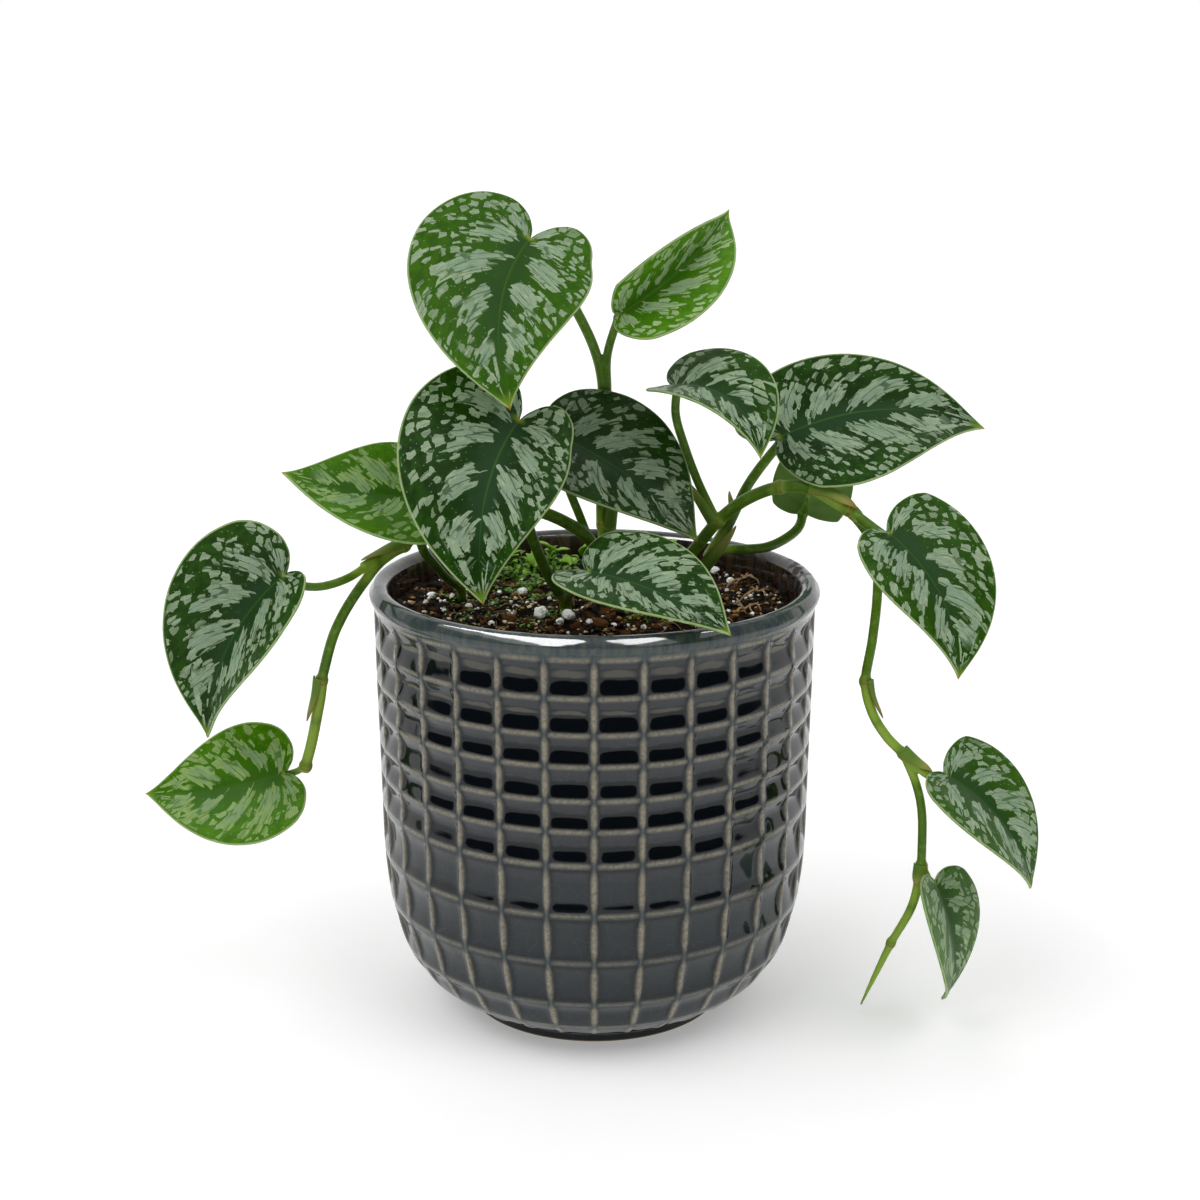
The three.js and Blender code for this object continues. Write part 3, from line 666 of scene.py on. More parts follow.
PER_COLUMN = 14
PER_ROW = 12
SIDE_REACH = 1.3  # how far from its crest an upright rib has fallen by two thirds
LEVEL_REACH = 3.6  # the same for a level rib of a tall row
TALL_ROW = 12  # a lower row is a scoop with its deepest line high up, a taller one a flat pillow
DEEPEST = 0.6  # where the scoop is deepest, as a share of the row's height
SCOOP_CREST, SCOOP_VALLEY = 0.2, 0.3  # roundness of its ribs and of its deepest line
ROW_DEPTH = {0: 0.3, 1: 0.75, 2: 0.9}  # the lowest rows are shallower
# height of the painted dark reflection in each row's cells
DARK_REFLECTIONS = [5.5, 5.3, 4.8, 5.0, 4.6, 4.9, 3.0, 0, 0, 0, 0]  # height of the dark oblong, from the top row
FOOT, BEAD, CAVITY = -1, -2, -3  # what a ring of the outline belongs to when it isn't a row of the net


def wall_radius(height):
    height = np.asarray(height, float)
    straight = WALL_RADIUS - WALL_TAPER * (NET_TOP - height)
    in_belly = np.maximum(0, (BELLY_HEIGHT - height) / BELLY_HEIGHT)
    return straight * (1 - in_belly**BELLY_POWER) ** (1 / BELLY_POWER)


def cavity_radius(height):
    corner = np.maximum(0, 1 - (np.asarray(height, float) - CAVITY_FLOOR) / CAVITY_CORNER)
    straight = wall_radius(np.maximum(height, CAVITY_FLOOR + CAVITY_CORNER)) - WALL_THICKNESS
    return straight - CAVITY_CORNER * (1 - np.sqrt(1 - corner**2))


def dense_at_ends(count):
    """Shares from 0 to 1 that lie closer together at both ends, where the ribs turn."""
    steps = np.arange(count) / count
    return steps - 0.085 * np.sin(2 * np.pi * steps)


def pot_outline():
    """Rings from the middle of the foot to that of the cavity: radius, height, row, share of the row."""
    sole_edge = FOOT_RADIUS - FOOT_CHAMFER
    outline = [(radius, 0.0, FOOT, 0.0) for radius in (0.0, 12.0, 24.0, 34.0, 38.5, sole_edge)]
    for angle in np.radians((30, 60, 90)):
        radius = sole_edge + FOOT_CHAMFER * math.sin(angle)
        outline.append((radius, FOOT_CHAMFER * (1 - math.cos(angle)), FOOT, 0.0))
    outline.append((FOOT_RADIUS + 0.1, 2.2, FOOT, 0.0))
    low = FOOT_HEIGHT
    for row, row_height in enumerate(reversed(ROW_HEIGHTS)):
        for share in [*dense_at_ends(PER_ROW), 1.0]:
            height = low + row_height * share
            outline.append((float(wall_radius(height)), height, row, share))
        low += row_height
    outline.append((WALL_RADIUS, NET_TOP, len(ROW_HEIGHTS), 0.0))
    for turn in np.linspace(-48, 165, 48):
        angle = math.radians(turn)
        from_face = math.radians(min(abs(turn - RIM_FACE_TURN), RIM_FACE_HALF))
        flattened = math.cos(math.radians(RIM_FACE_HALF)) / math.cos(from_face)
        reach = BEAD_RADIUS * (1 + RIM_FACE_FLATNESS * (flattened - 1))
        radius = BEAD_CENTRE + reach * math.cos(angle)
        outline.append((radius, BEAD_HEIGHT + reach * math.sin(angle), BEAD, 0.0))
    for height in (132.5, 130, 126, 120, 105, 80, 50, 28, 22, 18, 14, 11, 9, CAVITY_FLOOR):
        outline.append((float(cavity_radius(height)), height, CAVITY, 0.0))
    return np.array([*outline, (0.0, CAVITY_FLOOR, CAVITY, 0.0)])


def rounded(value, corner):
    """From 0 to 1 as the value does, with a round start."""
    return (math.hypot(value, corner) - corner) / (math.hypot(1, corner) - corner)


def scoop(share):
    """Depth of a low row from 0 to 1, at a share of its height."""
    climb = rounded(min(share / DEEPEST, (1 - share) / (1 - DEEPEST)), SCOOP_CREST)
    return 1 - rounded(1 - climb, SCOOP_VALLEY)


def build_pot():
    count = COLUMNS * PER_COLUMN
    column_share = np.tile(dense_at_ends(PER_COLUMN), COLUMNS)
    column_index = np.repeat(np.arange(COLUMNS), PER_COLUMN)
    turns = 2 * np.pi * (column_index + column_share) / COLUMNS
    rng = np.random.default_rng(SEED)
    outline = pot_outline()
    part = outline[:, 2:3]

    # distance along the outline, for the width of the level ribs
    steps = np.hypot(np.diff(outline[:, 0]), np.diff(outline[:, 1]))
    walked = np.concatenate([[0], np.cumsum(steps)])
    tangent = unit(np.gradient(outline[:, :2], axis=0) + 1e-9)
    normal = np.stack([tangent[:, 1], -tangent[:, 0]], -1)
    net_lines = walked[(outline[:, 2] >= 0) & (outline[:, 3] == 0)]

    radius = np.repeat(outline[:, 0:1], count, 1)
    height = np.repeat(outline[:, 1:2], count, 1)
    net, zone, cell = np.zeros((3, len(outline), count, 3))
    flank, drop = np.zeros((2, len(outline), count))
    cell_depth = CELL_DEPTH * rng.uniform(0.86, 1.0, (len(ROW_HEIGHTS) + 1, COLUMNS))
    for i, (ring_radius, ring_height, row, share) in enumerate(outline):
        if row == CAVITY:
            zone[i, :, 1] = 1.0
        elif row == BEAD or ring_height > NET_TOP - 0.1:
            zone[i, :, 0] = 1.0
        if row == BEAD and ring_radius < BEAD_CENTRE:
            zone[i, :, 1] = 0.8 * smoothstep(BEAD_CENTRE - ring_radius, 1.2, 2.8)
        if row == FOOT and ring_height < 0.7:
            zone[i, :, 2] = 1.0
        if row < 0:
            continue
        side_gap = np.minimum(column_share, 1 - column_share) * 2 * math.pi * ring_radius / COLUMNS
        level_gap = np.min(np.abs(net_lines - walked[i]))
        row_index = int(min(row, len(ROW_HEIGHTS) - 1))
        row_height = ROW_HEIGHTS[::-1][row_index]
        level_sunk = scoop(share) if row_height < TALL_ROW else 1 - bump_at(level_gap, LEVEL_REACH)
        sunk = (1 - bump_at(side_gap, SIDE_REACH)) * level_sunk
        depth = cell_depth[row_index, column_index] * sunk * ROW_DEPTH.get(row_index, 1.0)
        radius[i] -= normal[i, 0] * depth
        height[i] -= normal[i, 1] * depth
        spindle_up = smoothstep(math.sin(math.pi * share), 0.1, 0.8)
        spindle_side = smoothstep(np.sin(np.pi * column_share), 0.08, 0.5)
        net[i, :, 0] = bump_at(side_gap, 0.5 + 0.4 * spindle_up) * (0.3 + 0.7 * spindle_up)
        net[i, :, 1] = bump_at(level_gap, 0.8) * spindle_side
        net[i, :, 2] = np.maximum(bump_at(side_gap, 0.9), bump_at(level_gap, 0.9))
        flank[i] = bump_at(side_gap, 1.6)
        if row_height > TALL_ROW or row_index < 2:
            flank[i] = np.maximum(flank[i], bump_at(level_gap, 1.9))
        cell[i, :, 0] = math.pi * ring_radius / COLUMNS - side_gap
        cell[i, :, 1] = share * row_height
        # height of the painted dark reflection in this row
        cell[i, :, 2] = DARK_REFLECTIONS[::-1][row_index]
        drop[i] = (1 - share) * row_height

    # the shape wanders a little, as a hand-finished pot's does
    wander = 0.12 * np.sin(3 * turns)[None, :] * np.sin(height / 17.0)
    radius = radius - ((part >= 0) | (part == BEAD)) * (np.abs(wander) + 0.08)
    height = np.where(part == BEAD, height - 0.04, height)
    points = np.stack([radius * np.sin(turns), -radius * np.cos(turns), height], -1).reshape(-1, 3)
    attributes = {"net": net.reshape(-1, 3), "zone": zone.reshape(-1, 3), "cell": cell.reshape(-1, 3)}
    attributes.update(flank=flank.ravel(), drop=drop.ravel())
    faces = grid_faces(len(outline), count, wrap=True)
    pot = make_object("pot_glazed", points, faces, GLAZE, attributes, weld=0.01, split=("cell", "drop"))
    add_piece(pot, "glaze", "pot")


# ---------------------------------------------------------------- leaves

# half of a heart outline: place along the blade, width, and place along the midrib that it belongs to
HALF_OUTLINE = [
    (0, 0, 0), (-0.055, 0.055, 0.006), (-0.12, 0.2, 0.014), (-0.145, 0.42, 0.024), (-0.09, 0.7, 0.045),
    (0.04, 0.9, 0.09), (0.2, 1, 0.17), (0.38, 0.96, 0.3), (0.55, 0.8, 0.46), (0.7, 0.57, 0.63),
    (0.82, 0.34, 0.78), (0.92, 0.14, 0.91), (1, 0, 1),
]

# the last key darkens a leaf that lies in the shadow of others, as painted shade
LEAF_KEYS = "at heading pitch roll length left right bend curl fold left_lobe right_lobe young dull".split()
LEAF_ROWS = [
    ((-19, 0, 243), -122, -29, -28, 62, 0.4, 0.5, 50, 31, 11, 1.24, 1.14, 0.4, 0),
    ((7, 8, 219), 36, 23, 69, 63, 0.27, 0.37, 18, 21, 55, 0.2, 0.55, 0.95, 0),
    ((-22, -22, 192), -124, -32, -38, 61, 0.35, 0.5, 46, 32, 12, 1.27, 1.26, 0.0, 0),
    ((-13, 0, 184), -29, -17, 23, 58, 0.46, 0.42, -6, 33, 16, 0.84, 1, 0.0, 0.4),
    ((-2, -42, 151), -29, -4, 21, 52, 0.39, 0.33, -20, 13, 18, 0.59, 1.03, 0.0, 0),
    ((24, 5, 198), -30, 8, 15, 44, 0.46, 0.37, -45, 74, 22, 0.72, 0.85, 0.1, 0),
    ((57, 12, 180), 18, 23, 42, 71, 0.31, 0.48, -40, 29, 24, 1, 0.46, 0.0, 0),
    ((88.5, -18, 157), -24, -35, 25, 51, 0.52, 0.41, -37, 40, 11, 0.55, 0.7, 0.18, 0),
    ((107.5, -26, 83), -18, -29, 16, 47, 0.5, 0.45, -7, 56, 14, 0.4, 0.64, 0.3, 0),
    ((105, -32, 49.5), -46, -60, -15, 43, 0.5, 0.44, 27, 61, 14, 0.49, 0.58, 0.5, 0),
    ((-92, -30, 147), 170, -41, -63, 61, 0.48, 0.46, 40, 24, 40, 0.86, 0.84, 0.05, 0),
    ((-96, -20, 81), -179, -19, -57, 46, 0.45, 0.42, -21, 3, 14, 0.82, 0.73, 0.8, 0),
    ((-47, -14, 167), -149, 3, -41, 49, 0.42, 0.41, -36, 8, 14, 1, 1, 0.7, 0),
    ((68, 32, 152), -15, 76, -90, 36, 0.38, 0.36, 0, 10, 8, 0.2, 0.35, 0.3, 0),
]
LEAVES = [dict(zip(LEAF_KEYS, row)) for row in LEAF_ROWS]

LEAF_ROWS_OF_POINTS = 72
LEAF_STRIPS = 15
EDGE_WIDTH = 0.5  # of the rounded edge
EDGE_STEPS = np.array([0.4, 0.75, 1.0])
VEIN_GAP = 6.5
BLOTCHES = 6.5  # broad blotches along each half


def midrib(leaf):
    """Places and directions along the midrib: place, along, across, out of the upper face."""
    along = turned(X_AXIS, Y_AXIS, -math.radians(leaf["pitch"]))
    along = turned(along, Z_AXIS, math.radians(leaf["heading"]))
    out = turned(unit(Z_AXIS - along * along[2]), along, math.radians(leaf["roll"]))
    place = np.array(leaf["at"], float)
    frames = []
    for i in range(MIDRIB_STEPS + 1):
        frames.append((place, along, np.cross(out, along), out))
        before = along
        along = turned(along, out, math.radians(leaf["bend"]) / MIDRIB_STEPS)
        axis = np.cross(out, along)
        curl = (math.radians(leaf["curl"]) / MIDRIB_STEPS) * (0.5 + (i + 0.5) / MIDRIB_STEPS)
        along, out = turned(along, axis, curl), turned(out, axis, curl)
        place = place + (before + along) * 0.5 * leaf["length"] / MIDRIB_STEPS
    return [np.array(part) for part in zip(*frames)]


def blade_point(leaf, frames, u, v):
    position = np.clip(u, 0, 1) * MIDRIB_STEPS
    index = np.minimum(position.astype(int), MIDRIB_STEPS - 1)
    share = (position - index)[:, None]
    place, along, across, out = (part[index] * (1 - share) + part[index + 1] * share for part in frames)
    fold = math.radians(leaf["fold"])
    length = leaf["length"]
    rounding = 0.05 * length
    rise = math.sin(fold) * (np.hypot(v, rounding) - rounding) - CROSS_CURVE * v * v / length
    return (
        place
        + along * (np.minimum(u, 0) * length)[:, None]
        + across * (v * math.cos(fold))[:, None]
        + out * rise[:, None]
    )


def blade_normal(leaf, frames, u, v):
    step = 0.4
    reach = step / leaf["length"]
    ahead = blade_point(leaf, frames, u + reach, v) - blade_point(leaf, frames, u - reach, v)
    beside = blade_point(leaf, frames, u, v + step) - blade_point(leaf, frames, u, v - step)
    return unit(np.cross(ahead, beside))


def on_midrib(leaf, frames, u):
    return blade_point(leaf, frames, np.array([u]), np.array([0.0]))[0]


def build_leaf(number, leaf):
    frames = midrib(leaf)
    length = leaf["length"]
    edge = catmull_rom(HALF_OUTLINE, np.linspace(0, 1, LEAF_ROWS_OF_POINTS + 1))
    station = np.clip(edge[:, 2], 0, 1)
    columns = LEAF_STRIPS + 1 + len(EDGE_STEPS)
    pile = Pile()

    for half, wide, lobe in ((1, leaf["left"], leaf["left_lobe"]), (-1, leaf["right"], leaf["right_lobe"])):
        edge_u = np.where(edge[:, 0] < 0, edge[:, 0] * lobe, edge[:, 0])
        edge_v = edge[:, 1] * (wide * length)
        reach = np.hypot((edge_u - station) * length, edge_v)  # from the midrib to the edge
        walked = np.concatenate([[0], np.cumsum(np.hypot(np.diff(edge_u) * length, np.diff(edge_v)))])
        girth = walked[-1]
        around = walked / girth

        flat = np.maximum(reach - EDGE_WIDTH, reach * 0.5)
        inner = flat[:, None] * (np.arange(LEAF_STRIPS + 1) / LEAF_STRIPS)[None, :]
        outer = flat[:, None] + (reach - flat)[:, None] * EDGE_STEPS[None, :]
        distance = np.concatenate([inner, outer], 1)
        kept = np.maximum(1 - INSET / np.maximum(reach, INSET), 0.5)
        share = distance / np.maximum(reach, 1e-6)[:, None]
        edge_gap = reach[:, None] - distance
        used = share * kept[:, None]
        u = station[:, None] + (edge_u - station)[:, None] * used
        v = half * edge_v[:, None] * used
        u, v, share, edge_gap = (part.ravel() for part in (u, v, share, edge_gap))

        # veins run outwards and forwards; the cells' places are counted across and along them
        lean = 0.17 * smoothstep(around, 0.05, 0.4) * smoothstep(1 - around, 0.0, 0.25)
        slant = np.arctan(lean * girth / np.maximum(reach, 1.0))
        forward = np.concatenate([[0], np.cumsum(np.diff(walked) * np.sin(0.5 * (slant[1:] + slant[:-1])))])
        around, lean, slant, forward, reach = (
            np.repeat(part, columns) for part in (around, lean, slant, forward, reach)
        )
        across_veins = girth * (around - lean * share**1.15)
        along_veins = distance.ravel() * np.cos(slant) + forward
        shift = 211.3 * number + 101.9 * half
        veins = np.stack([across_veins + shift, along_veins + shift, np.full(len(u), girth / BLOTCHES)], -1)
        slope = np.cos(slant) / np.maximum(reach, 2.0)

        # relief: a sunk midrib, faint lateral veins, a slight wave of the whole blade
        flow = across_veins / VEIN_GAP
        lateral = bump_at(np.abs(flow - np.round(flow)) * VEIN_GAP, 0.55)
        lateral = lateral * smoothstep(share, 0.02, 0.1) * smoothstep(1 - share, 0.05, 0.35)
        lateral = lateral * smoothstep(around, 0.1, 0.25) * smoothstep(1 - around, 0.08, 0.2)
        quilt = 0.09 * (1 - np.cos(2 * np.pi * flow))
        quilt = quilt * smoothstep(share, 0.05, 0.3) * smoothstep(1 - share, 0, 0.4)
        groove = bump_at(v, 0.75) * (1 - 0.75 * np.clip(u, 0, 1))
        middle = blade_point(leaf, frames, u, v)
        normal = blade_normal(leaf, frames, u, v)
        wave = 0.5 * noise_at(middle, 16.0, number) * smoothstep(share, 0.1, 0.7)
        wave = wave * smoothstep(edge_gap, 0.2, 6)
        swell = np.sqrt(np.clip(1 - (1 - np.minimum(edge_gap / EDGE_WIDTH, 1)) ** 2, 0, 1))
        blade = np.stack([u, share, edge_gap], -1)
        for side in (1, -1):
            lift = side * 0.5 * BLADE_THICKNESS * swell + wave + quilt - 0.16 * lateral
            lift = lift - (0.32 * groove if side == 1 else 0.65 * groove * swell)
            kind = np.stack([np.full(len(u), leaf["young"]), np.full(len(u), side), slope], -1)
            pile.add(
                middle + normal * lift[:, None],
                grid_faces(LEAF_ROWS_OF_POINTS + 1, columns, flip=half == side),
                veins=veins, blade=blade, leaf=kind, lateral=lateral,
                dull=leaf["dull"], half=2.0 * number + 0.5 * half,
            )

    piece = pile.make(f"blade_{number}", LEAF, weld=0.004, split=("veins", "lateral", "half"))
    add_piece(piece, "leaf_bright" if leaf["young"] > 0.5 else "leaf_dark", f"leaf_{number}")


# ---------------------------------------------------------------- stems

ROOT_TOP = SOIL_LEVEL + 4
# where each stem leaves the soil, and its radius there
ROOTS = {
    "vine_right": (19, 11.5, 1.95),
    "vine_left": (2.5, 13, 1.95),
    "stem_upright": (3.5, 20, 2.2),
    "stem_front": (-9, -3, 2.0),
    "stem_back": (28.5, 11.5, 1.8),
    "petiole_left": (-42.5, 13, 1.5),
}


def tube(route, radii, sides=20, spacing=1.0):
    """A round tube along a smooth route; radii are spread evenly from its start to its end."""
    rough_length = np.sum(np.linalg.norm(np.diff(np.asarray(route, float), axis=0), axis=1))
    count = max(6, int(rough_length / spacing))
    centres = along_route(route, count)
    tangents = unit(np.gradient(centres, axis=0))
    first = unit(np.cross(tangents[0], Y_AXIS if abs(tangents[0][1]) < 0.8 else X_AXIS))
    turns = 2 * np.pi * np.arange(sides) / sides
    points = []
    for centre, tangent, size in zip(centres, tangents, spread(radii, count)):
        first = unit(first - tangent * np.dot(first, tangent))
        points.append(arc(centre, first, np.cross(tangent, first), turns, size))
    points = np.vstack([*points, centres[0], centres[-1]])
    foot, last = count * sides, (count - 1) * sides
    faces = [*grid_faces(count, sides, wrap=True)]
    faces += [(foot, (i + 1) % sides, i) for i in range(sides)]
    faces += [(foot + 1, last + i, last + (i + 1) % sides) for i in range(sides)]
    return points, faces


def petiole_tubes(number, route, radius):
    """A petiole that reaches its leaf's notch and fades into the midrib below the blade."""
    leaf = LEAVES[number - 1]
    frames = midrib(leaf)
    out = frames[3][1]
    seat = on_midrib(leaf, frames, SEAT_SHARE)
    arrival = unit(seat - np.array(route[-1], float))
    tilt = math.sqrt(max(0.0, 1 - float(np.dot(arrival, out)) ** 2))
    reach = seat - out * (BLADE_THICKNESS / 2 + GAP + radius * tilt)
    under = [
        on_midrib(leaf, frames, share) - out * (BLADE_THICKNESS / 2 + depth * radius)
        for share, depth in ((0.08, 0.55), (0.15, 0.3))
    ]
    return [
        tube([*route, reach], [radius] * len(route) + [radius * 0.95]),
        tube([reach, *under], [radius * 0.95, radius * 0.6, 0.35], spacing=0.5),
        tube([reach - arrival * 2.5, reach], [radius, radius * 1.18, radius * 0.9], spacing=0.4),
    ]


def node_ring(place, direction, radius):
    """The thickened ring at a node: a short barrel across the stem."""
    ends = np.array(place, float) + np.outer((-1.9, 1.9), unit(direction))
    return tube(ends, [radius * 0.72, radius, radius * 0.98, radius * 0.7], spacing=0.4)


def build_stem(name, slot, parts, rings, pale=(), shade=0.0):
    """Joins the parts of a stem into one skin. parts are (route, radii), or (route, radius, leaf) for a
    petiole; rings are (place, direction, radius); pale are (place, reach) stretches of lighter tissue."""
    x, y, radius = ROOTS[name]
    tubes = [tube([(x, y, SOIL_LEVEL - ROOT_DEPTH + 0.2), (x, y, SOIL_LEVEL + 5)], [radius, radius])]
    for route, size, *leaf in parts:
        tubes += petiole_tubes(*leaf, route, size) if leaf else [tube(route, size)]
    pile = Pile()
    for points, faces in [*tubes, *(node_ring(*ring) for ring in rings)]:
        pile.add(points, faces)
    rough = pile.make(f"{name}_rough", STEM)
    remesh = rough.modifiers.new("skin", "REMESH")
    remesh.mode = "VOXEL"
    remesh.voxel_size = 0.34 * MM
    remesh.use_smooth_shade = True
    soften = rough.modifiers.new("soften", "SMOOTH")
    soften.factor = 0.5
    soften.iterations = 4
    skin = bpy.data.meshes.new_from_object(rough.evaluated_get(bpy.context.evaluated_depsgraph_get()))
    points = np.empty(len(skin.vertices) * 3, np.float32)
    skin.vertices.foreach_get("co", points)
    points = points.reshape(-1, 3) / MM
    ringed, light = np.zeros((2, len(points)))
    for place, direction, _ in rings:
        away = points - np.array(place, float)
        near = np.linalg.norm(away, axis=1) < 4.0
        along = away @ unit(direction)
        ringed = np.maximum(ringed, near * (bump_at(along - 0.5, 0.26) + 0.4 * bump_at(along + 0.7, 0.2)))
        light = np.maximum(light, 0.45 * near * smoothstep(4.0 - np.abs(along), 0, 3.0))
    for place, reach in pale:
        away = np.linalg.norm(points - np.array(place, float), axis=1)
        light = np.maximum(light, smoothstep(reach - away, 0, 0.6 * reach))
    values = np.stack([ringed, light, np.full(len(points), shade)], -1)
    layer = skin.attributes.new("stem", "FLOAT_VECTOR", "POINT")
    layer.data.foreach_set("vector", values.astype(np.float32).ravel())
    skin.materials.clear()
    skin.materials.append(STEM)
    skin.shade_smooth()
    bpy.data.objects.remove(rough)
    add_piece(link_object(f"{name}_skin", skin), slot, name)


def build_stems():
    """Each route is a list of places given one by one, as in the CAD source."""
    build_stem(
        "vine_right", "vine",
        [([(19, 11.5, ROOT_TOP), (24, 9, 137), (30.5, 7, 144.5), (38.5, 4, 155.5), (47, 1, 163),
           (57, -2, 167.5), (66.5, -5, 167.5), (77.5, -9, 162)], [1.95, 1.95]),
         ([(77.5, -9, 162), (83.5, -8.5, 154.5), (86.5, -10, 146), (86.5, -14, 136), (85, -17.5, 123),
           (83, -20, 110.5), (85, -22, 101.5), (89.5, -23, 94), (95, -24, 88.5)], [1.6, 1.5, 1.55]),
         ([(95, -24, 88.5), (99, -25.5, 79), (101, -26.5, 69), (101, -29, 53.5)], [1.4, 1.4]),
         ([(101, -29, 53.5), (98.5, -30, 41), (92.5, -29, 28)], [1.55, 1.25]),
         ([(92.5, -29, 28), (88, -28, 16.5), (84, -27, 6)], [1.3, 0.9, 0.35]),
         ([(38, 4, 155.5), (32, 5, 168), (27.5, 5, 180), (25, 5, 189)], 1.4, 6),
         ([(77.5, -9, 162), (82.5, -12, 158.5)], 1.7, 8),
         ([(95, -24, 88.5), (98.5, -25, 85.5), (102.5, -26, 82.5)], 1.5, 9),
         ([(101, -29, 53.5), (102.5, -30, 51.5)], 1.1, 10)],
        [((38.5, 4, 155.5), (8, -3, 9), 2.5), ((57, -2, 167.5), (10, -3, 2), 2.35),
         ((77.5, -9, 162), (8, -2, -6), 2.4), ((83, -20, 110.5), (0, -2, -11), 2.1),
         ((95, -24, 88.5), (6, -1, -6), 2.1), ((101, -29, 53.5), (0, -2, -12), 2.1),
         ((92.5, -29, 28), (-4, 1, -12), 1.65)],
        pale=[((72, -7, 165), 8), ((84.5, -21.5, 104), 9), ((90, -23, 94), 8), ((99, -25, 85), 7),
              ((100, -29.5, 47), 9), ((95.5, -29.5, 34), 10), ((89, -28.5, 18), 16)],
    )
    build_stem(
        "vine_left", "vine",
        [([(2.5, 13, ROOT_TOP), (1.5, 8.5, 141), (-2, 4.5, 150), (-9, 2, 155.5), (-17.5, 0, 159.5),
           (-29, -2, 162), (-41, -3.5, 161), (-51.5, -6, 156.5), (-58.5, -8, 150.5)], [1.95, 1.95]),
         ([(-58.5, -8, 150.5), (-65, -15, 147), (-69.5, -19, 142), (-73.5, -21, 136.5), (-77, -21.5, 130.5),
           (-80, -21.5, 123.5), (-83.5, -20.5, 111)], [1.6, 1.6]),
         ([(-83.5, -20.5, 111), (-84.5, -20, 104), (-87, -20, 92), (-89.5, -19.5, 83)], [1.95, 1.7, 1.7]),
         ([(-2, 4.5, 150), (-4.5, 7, 156), (-8, 7, 165), (-11, 4.5, 175)], 1.4, 4),
         ([(-58.5, -8, 150.5), (-70, -19.5, 146.5)], [2.1, 1.5]),
         ([(-68, -17.5, 147), (-74, -23, 144), (-81, -27, 142.5), (-87, -28.5, 143)], 1.3, 11),
         ([(-89.5, -19.5, 83), (-92.5, -19, 81)], 1.1, 12)],
        [((-58.5, -8, 150.5), (-7, -4, -5), 2.4), ((-83.5, -20.5, 111), (-2, 1, -11), 2.15),
         ((-89.5, -19.5, 83), (-3, 0, -10), 2.2)],
        pale=[((-62, -11, 149), 9), ((-70, -19, 147), 7), ((-84, -20, 105), 10), ((-87.5, -20, 91), 10)],
    )
    build_stem(
        "stem_upright", "petiole",
        [([(3.5, 20, 131.5), (3.5, 18, 151)], [2.2, 2.6]),
         ([(2, 18, 150), (2, 17.5, 163), (2.5, 17.5, 179), (2.5, 17.5, 195), (0.5, 15, 206),
           (-4, 11.5, 217), (-11, 6.5, 229.5)], 1.6, 1),
         ([(5, 18, 150), (5, 18, 163), (4.5, 18, 179), (4, 17.5, 194.5), (4, 14.5, 206)], 1.4, 2)],
        [((3.5, 20, 131.5), Z_AXIS, 2.3), ((3.5, 18, 151), Z_AXIS, 2.6)],
        pale=[((3.5, 18, 151), 8)],
    )
    build_stem(
        "stem_front", "petiole",
        [([(-9, -3, ROOT_TOP), (-12.5, -5, 137), (-16, -8, 145), (-19.5, -13, 156), (-23, -18, 168),
           (-24, -21.5, 180)], 1.7, 3),
         ([(-9, -3, ROOT_TOP), (-7.5, -13, 136), (-5.5, -25, 141.5), (-3, -37, 147)], 1.15, 5)],
        [((-9, -3, ROOT_TOP), Z_AXIS, 2.3)],
        shade=0.35,
    )
    build_stem(
        "stem_back", "petiole",
        [([(28.5, 11.5, ROOT_TOP), (32, 10.5, 136), (36, 9.5, 142), (40, 9, 149), (43.5, 9, 156),
           (47, 9, 164), (51.5, 9.5, 171)], 1.6, 7),
         ([(36, 9.5, 142), (43, 9, 155)], [2.3, 1.7]),
         ([(38, 9.5, 145), (47.5, 14, 144), (55, 19, 143.5), (61.5, 24.5, 145), (66, 28, 148)], 1.6, 14)],
        [((28.5, 11.5, ROOT_TOP), Z_AXIS, 1.9)],
        pale=[((38, 9.5, 146), 8)],
    )
    build_stem(
        "petiole_left", "petiole",
        [([(-42.5, 13, ROOT_TOP), (-46.5, 6, 136.5), (-49.5, -1, 142.5), (-52.5, -8, 149),
           (-53, -12.5, 155.5), (-50.5, -13.5, 161.5)], 1.5, 13)],
        [((-42.5, 13, ROOT_TOP), Z_AXIS, 1.6)],
        shade=0.5,
    )


HUSK_SKIN = 0.3
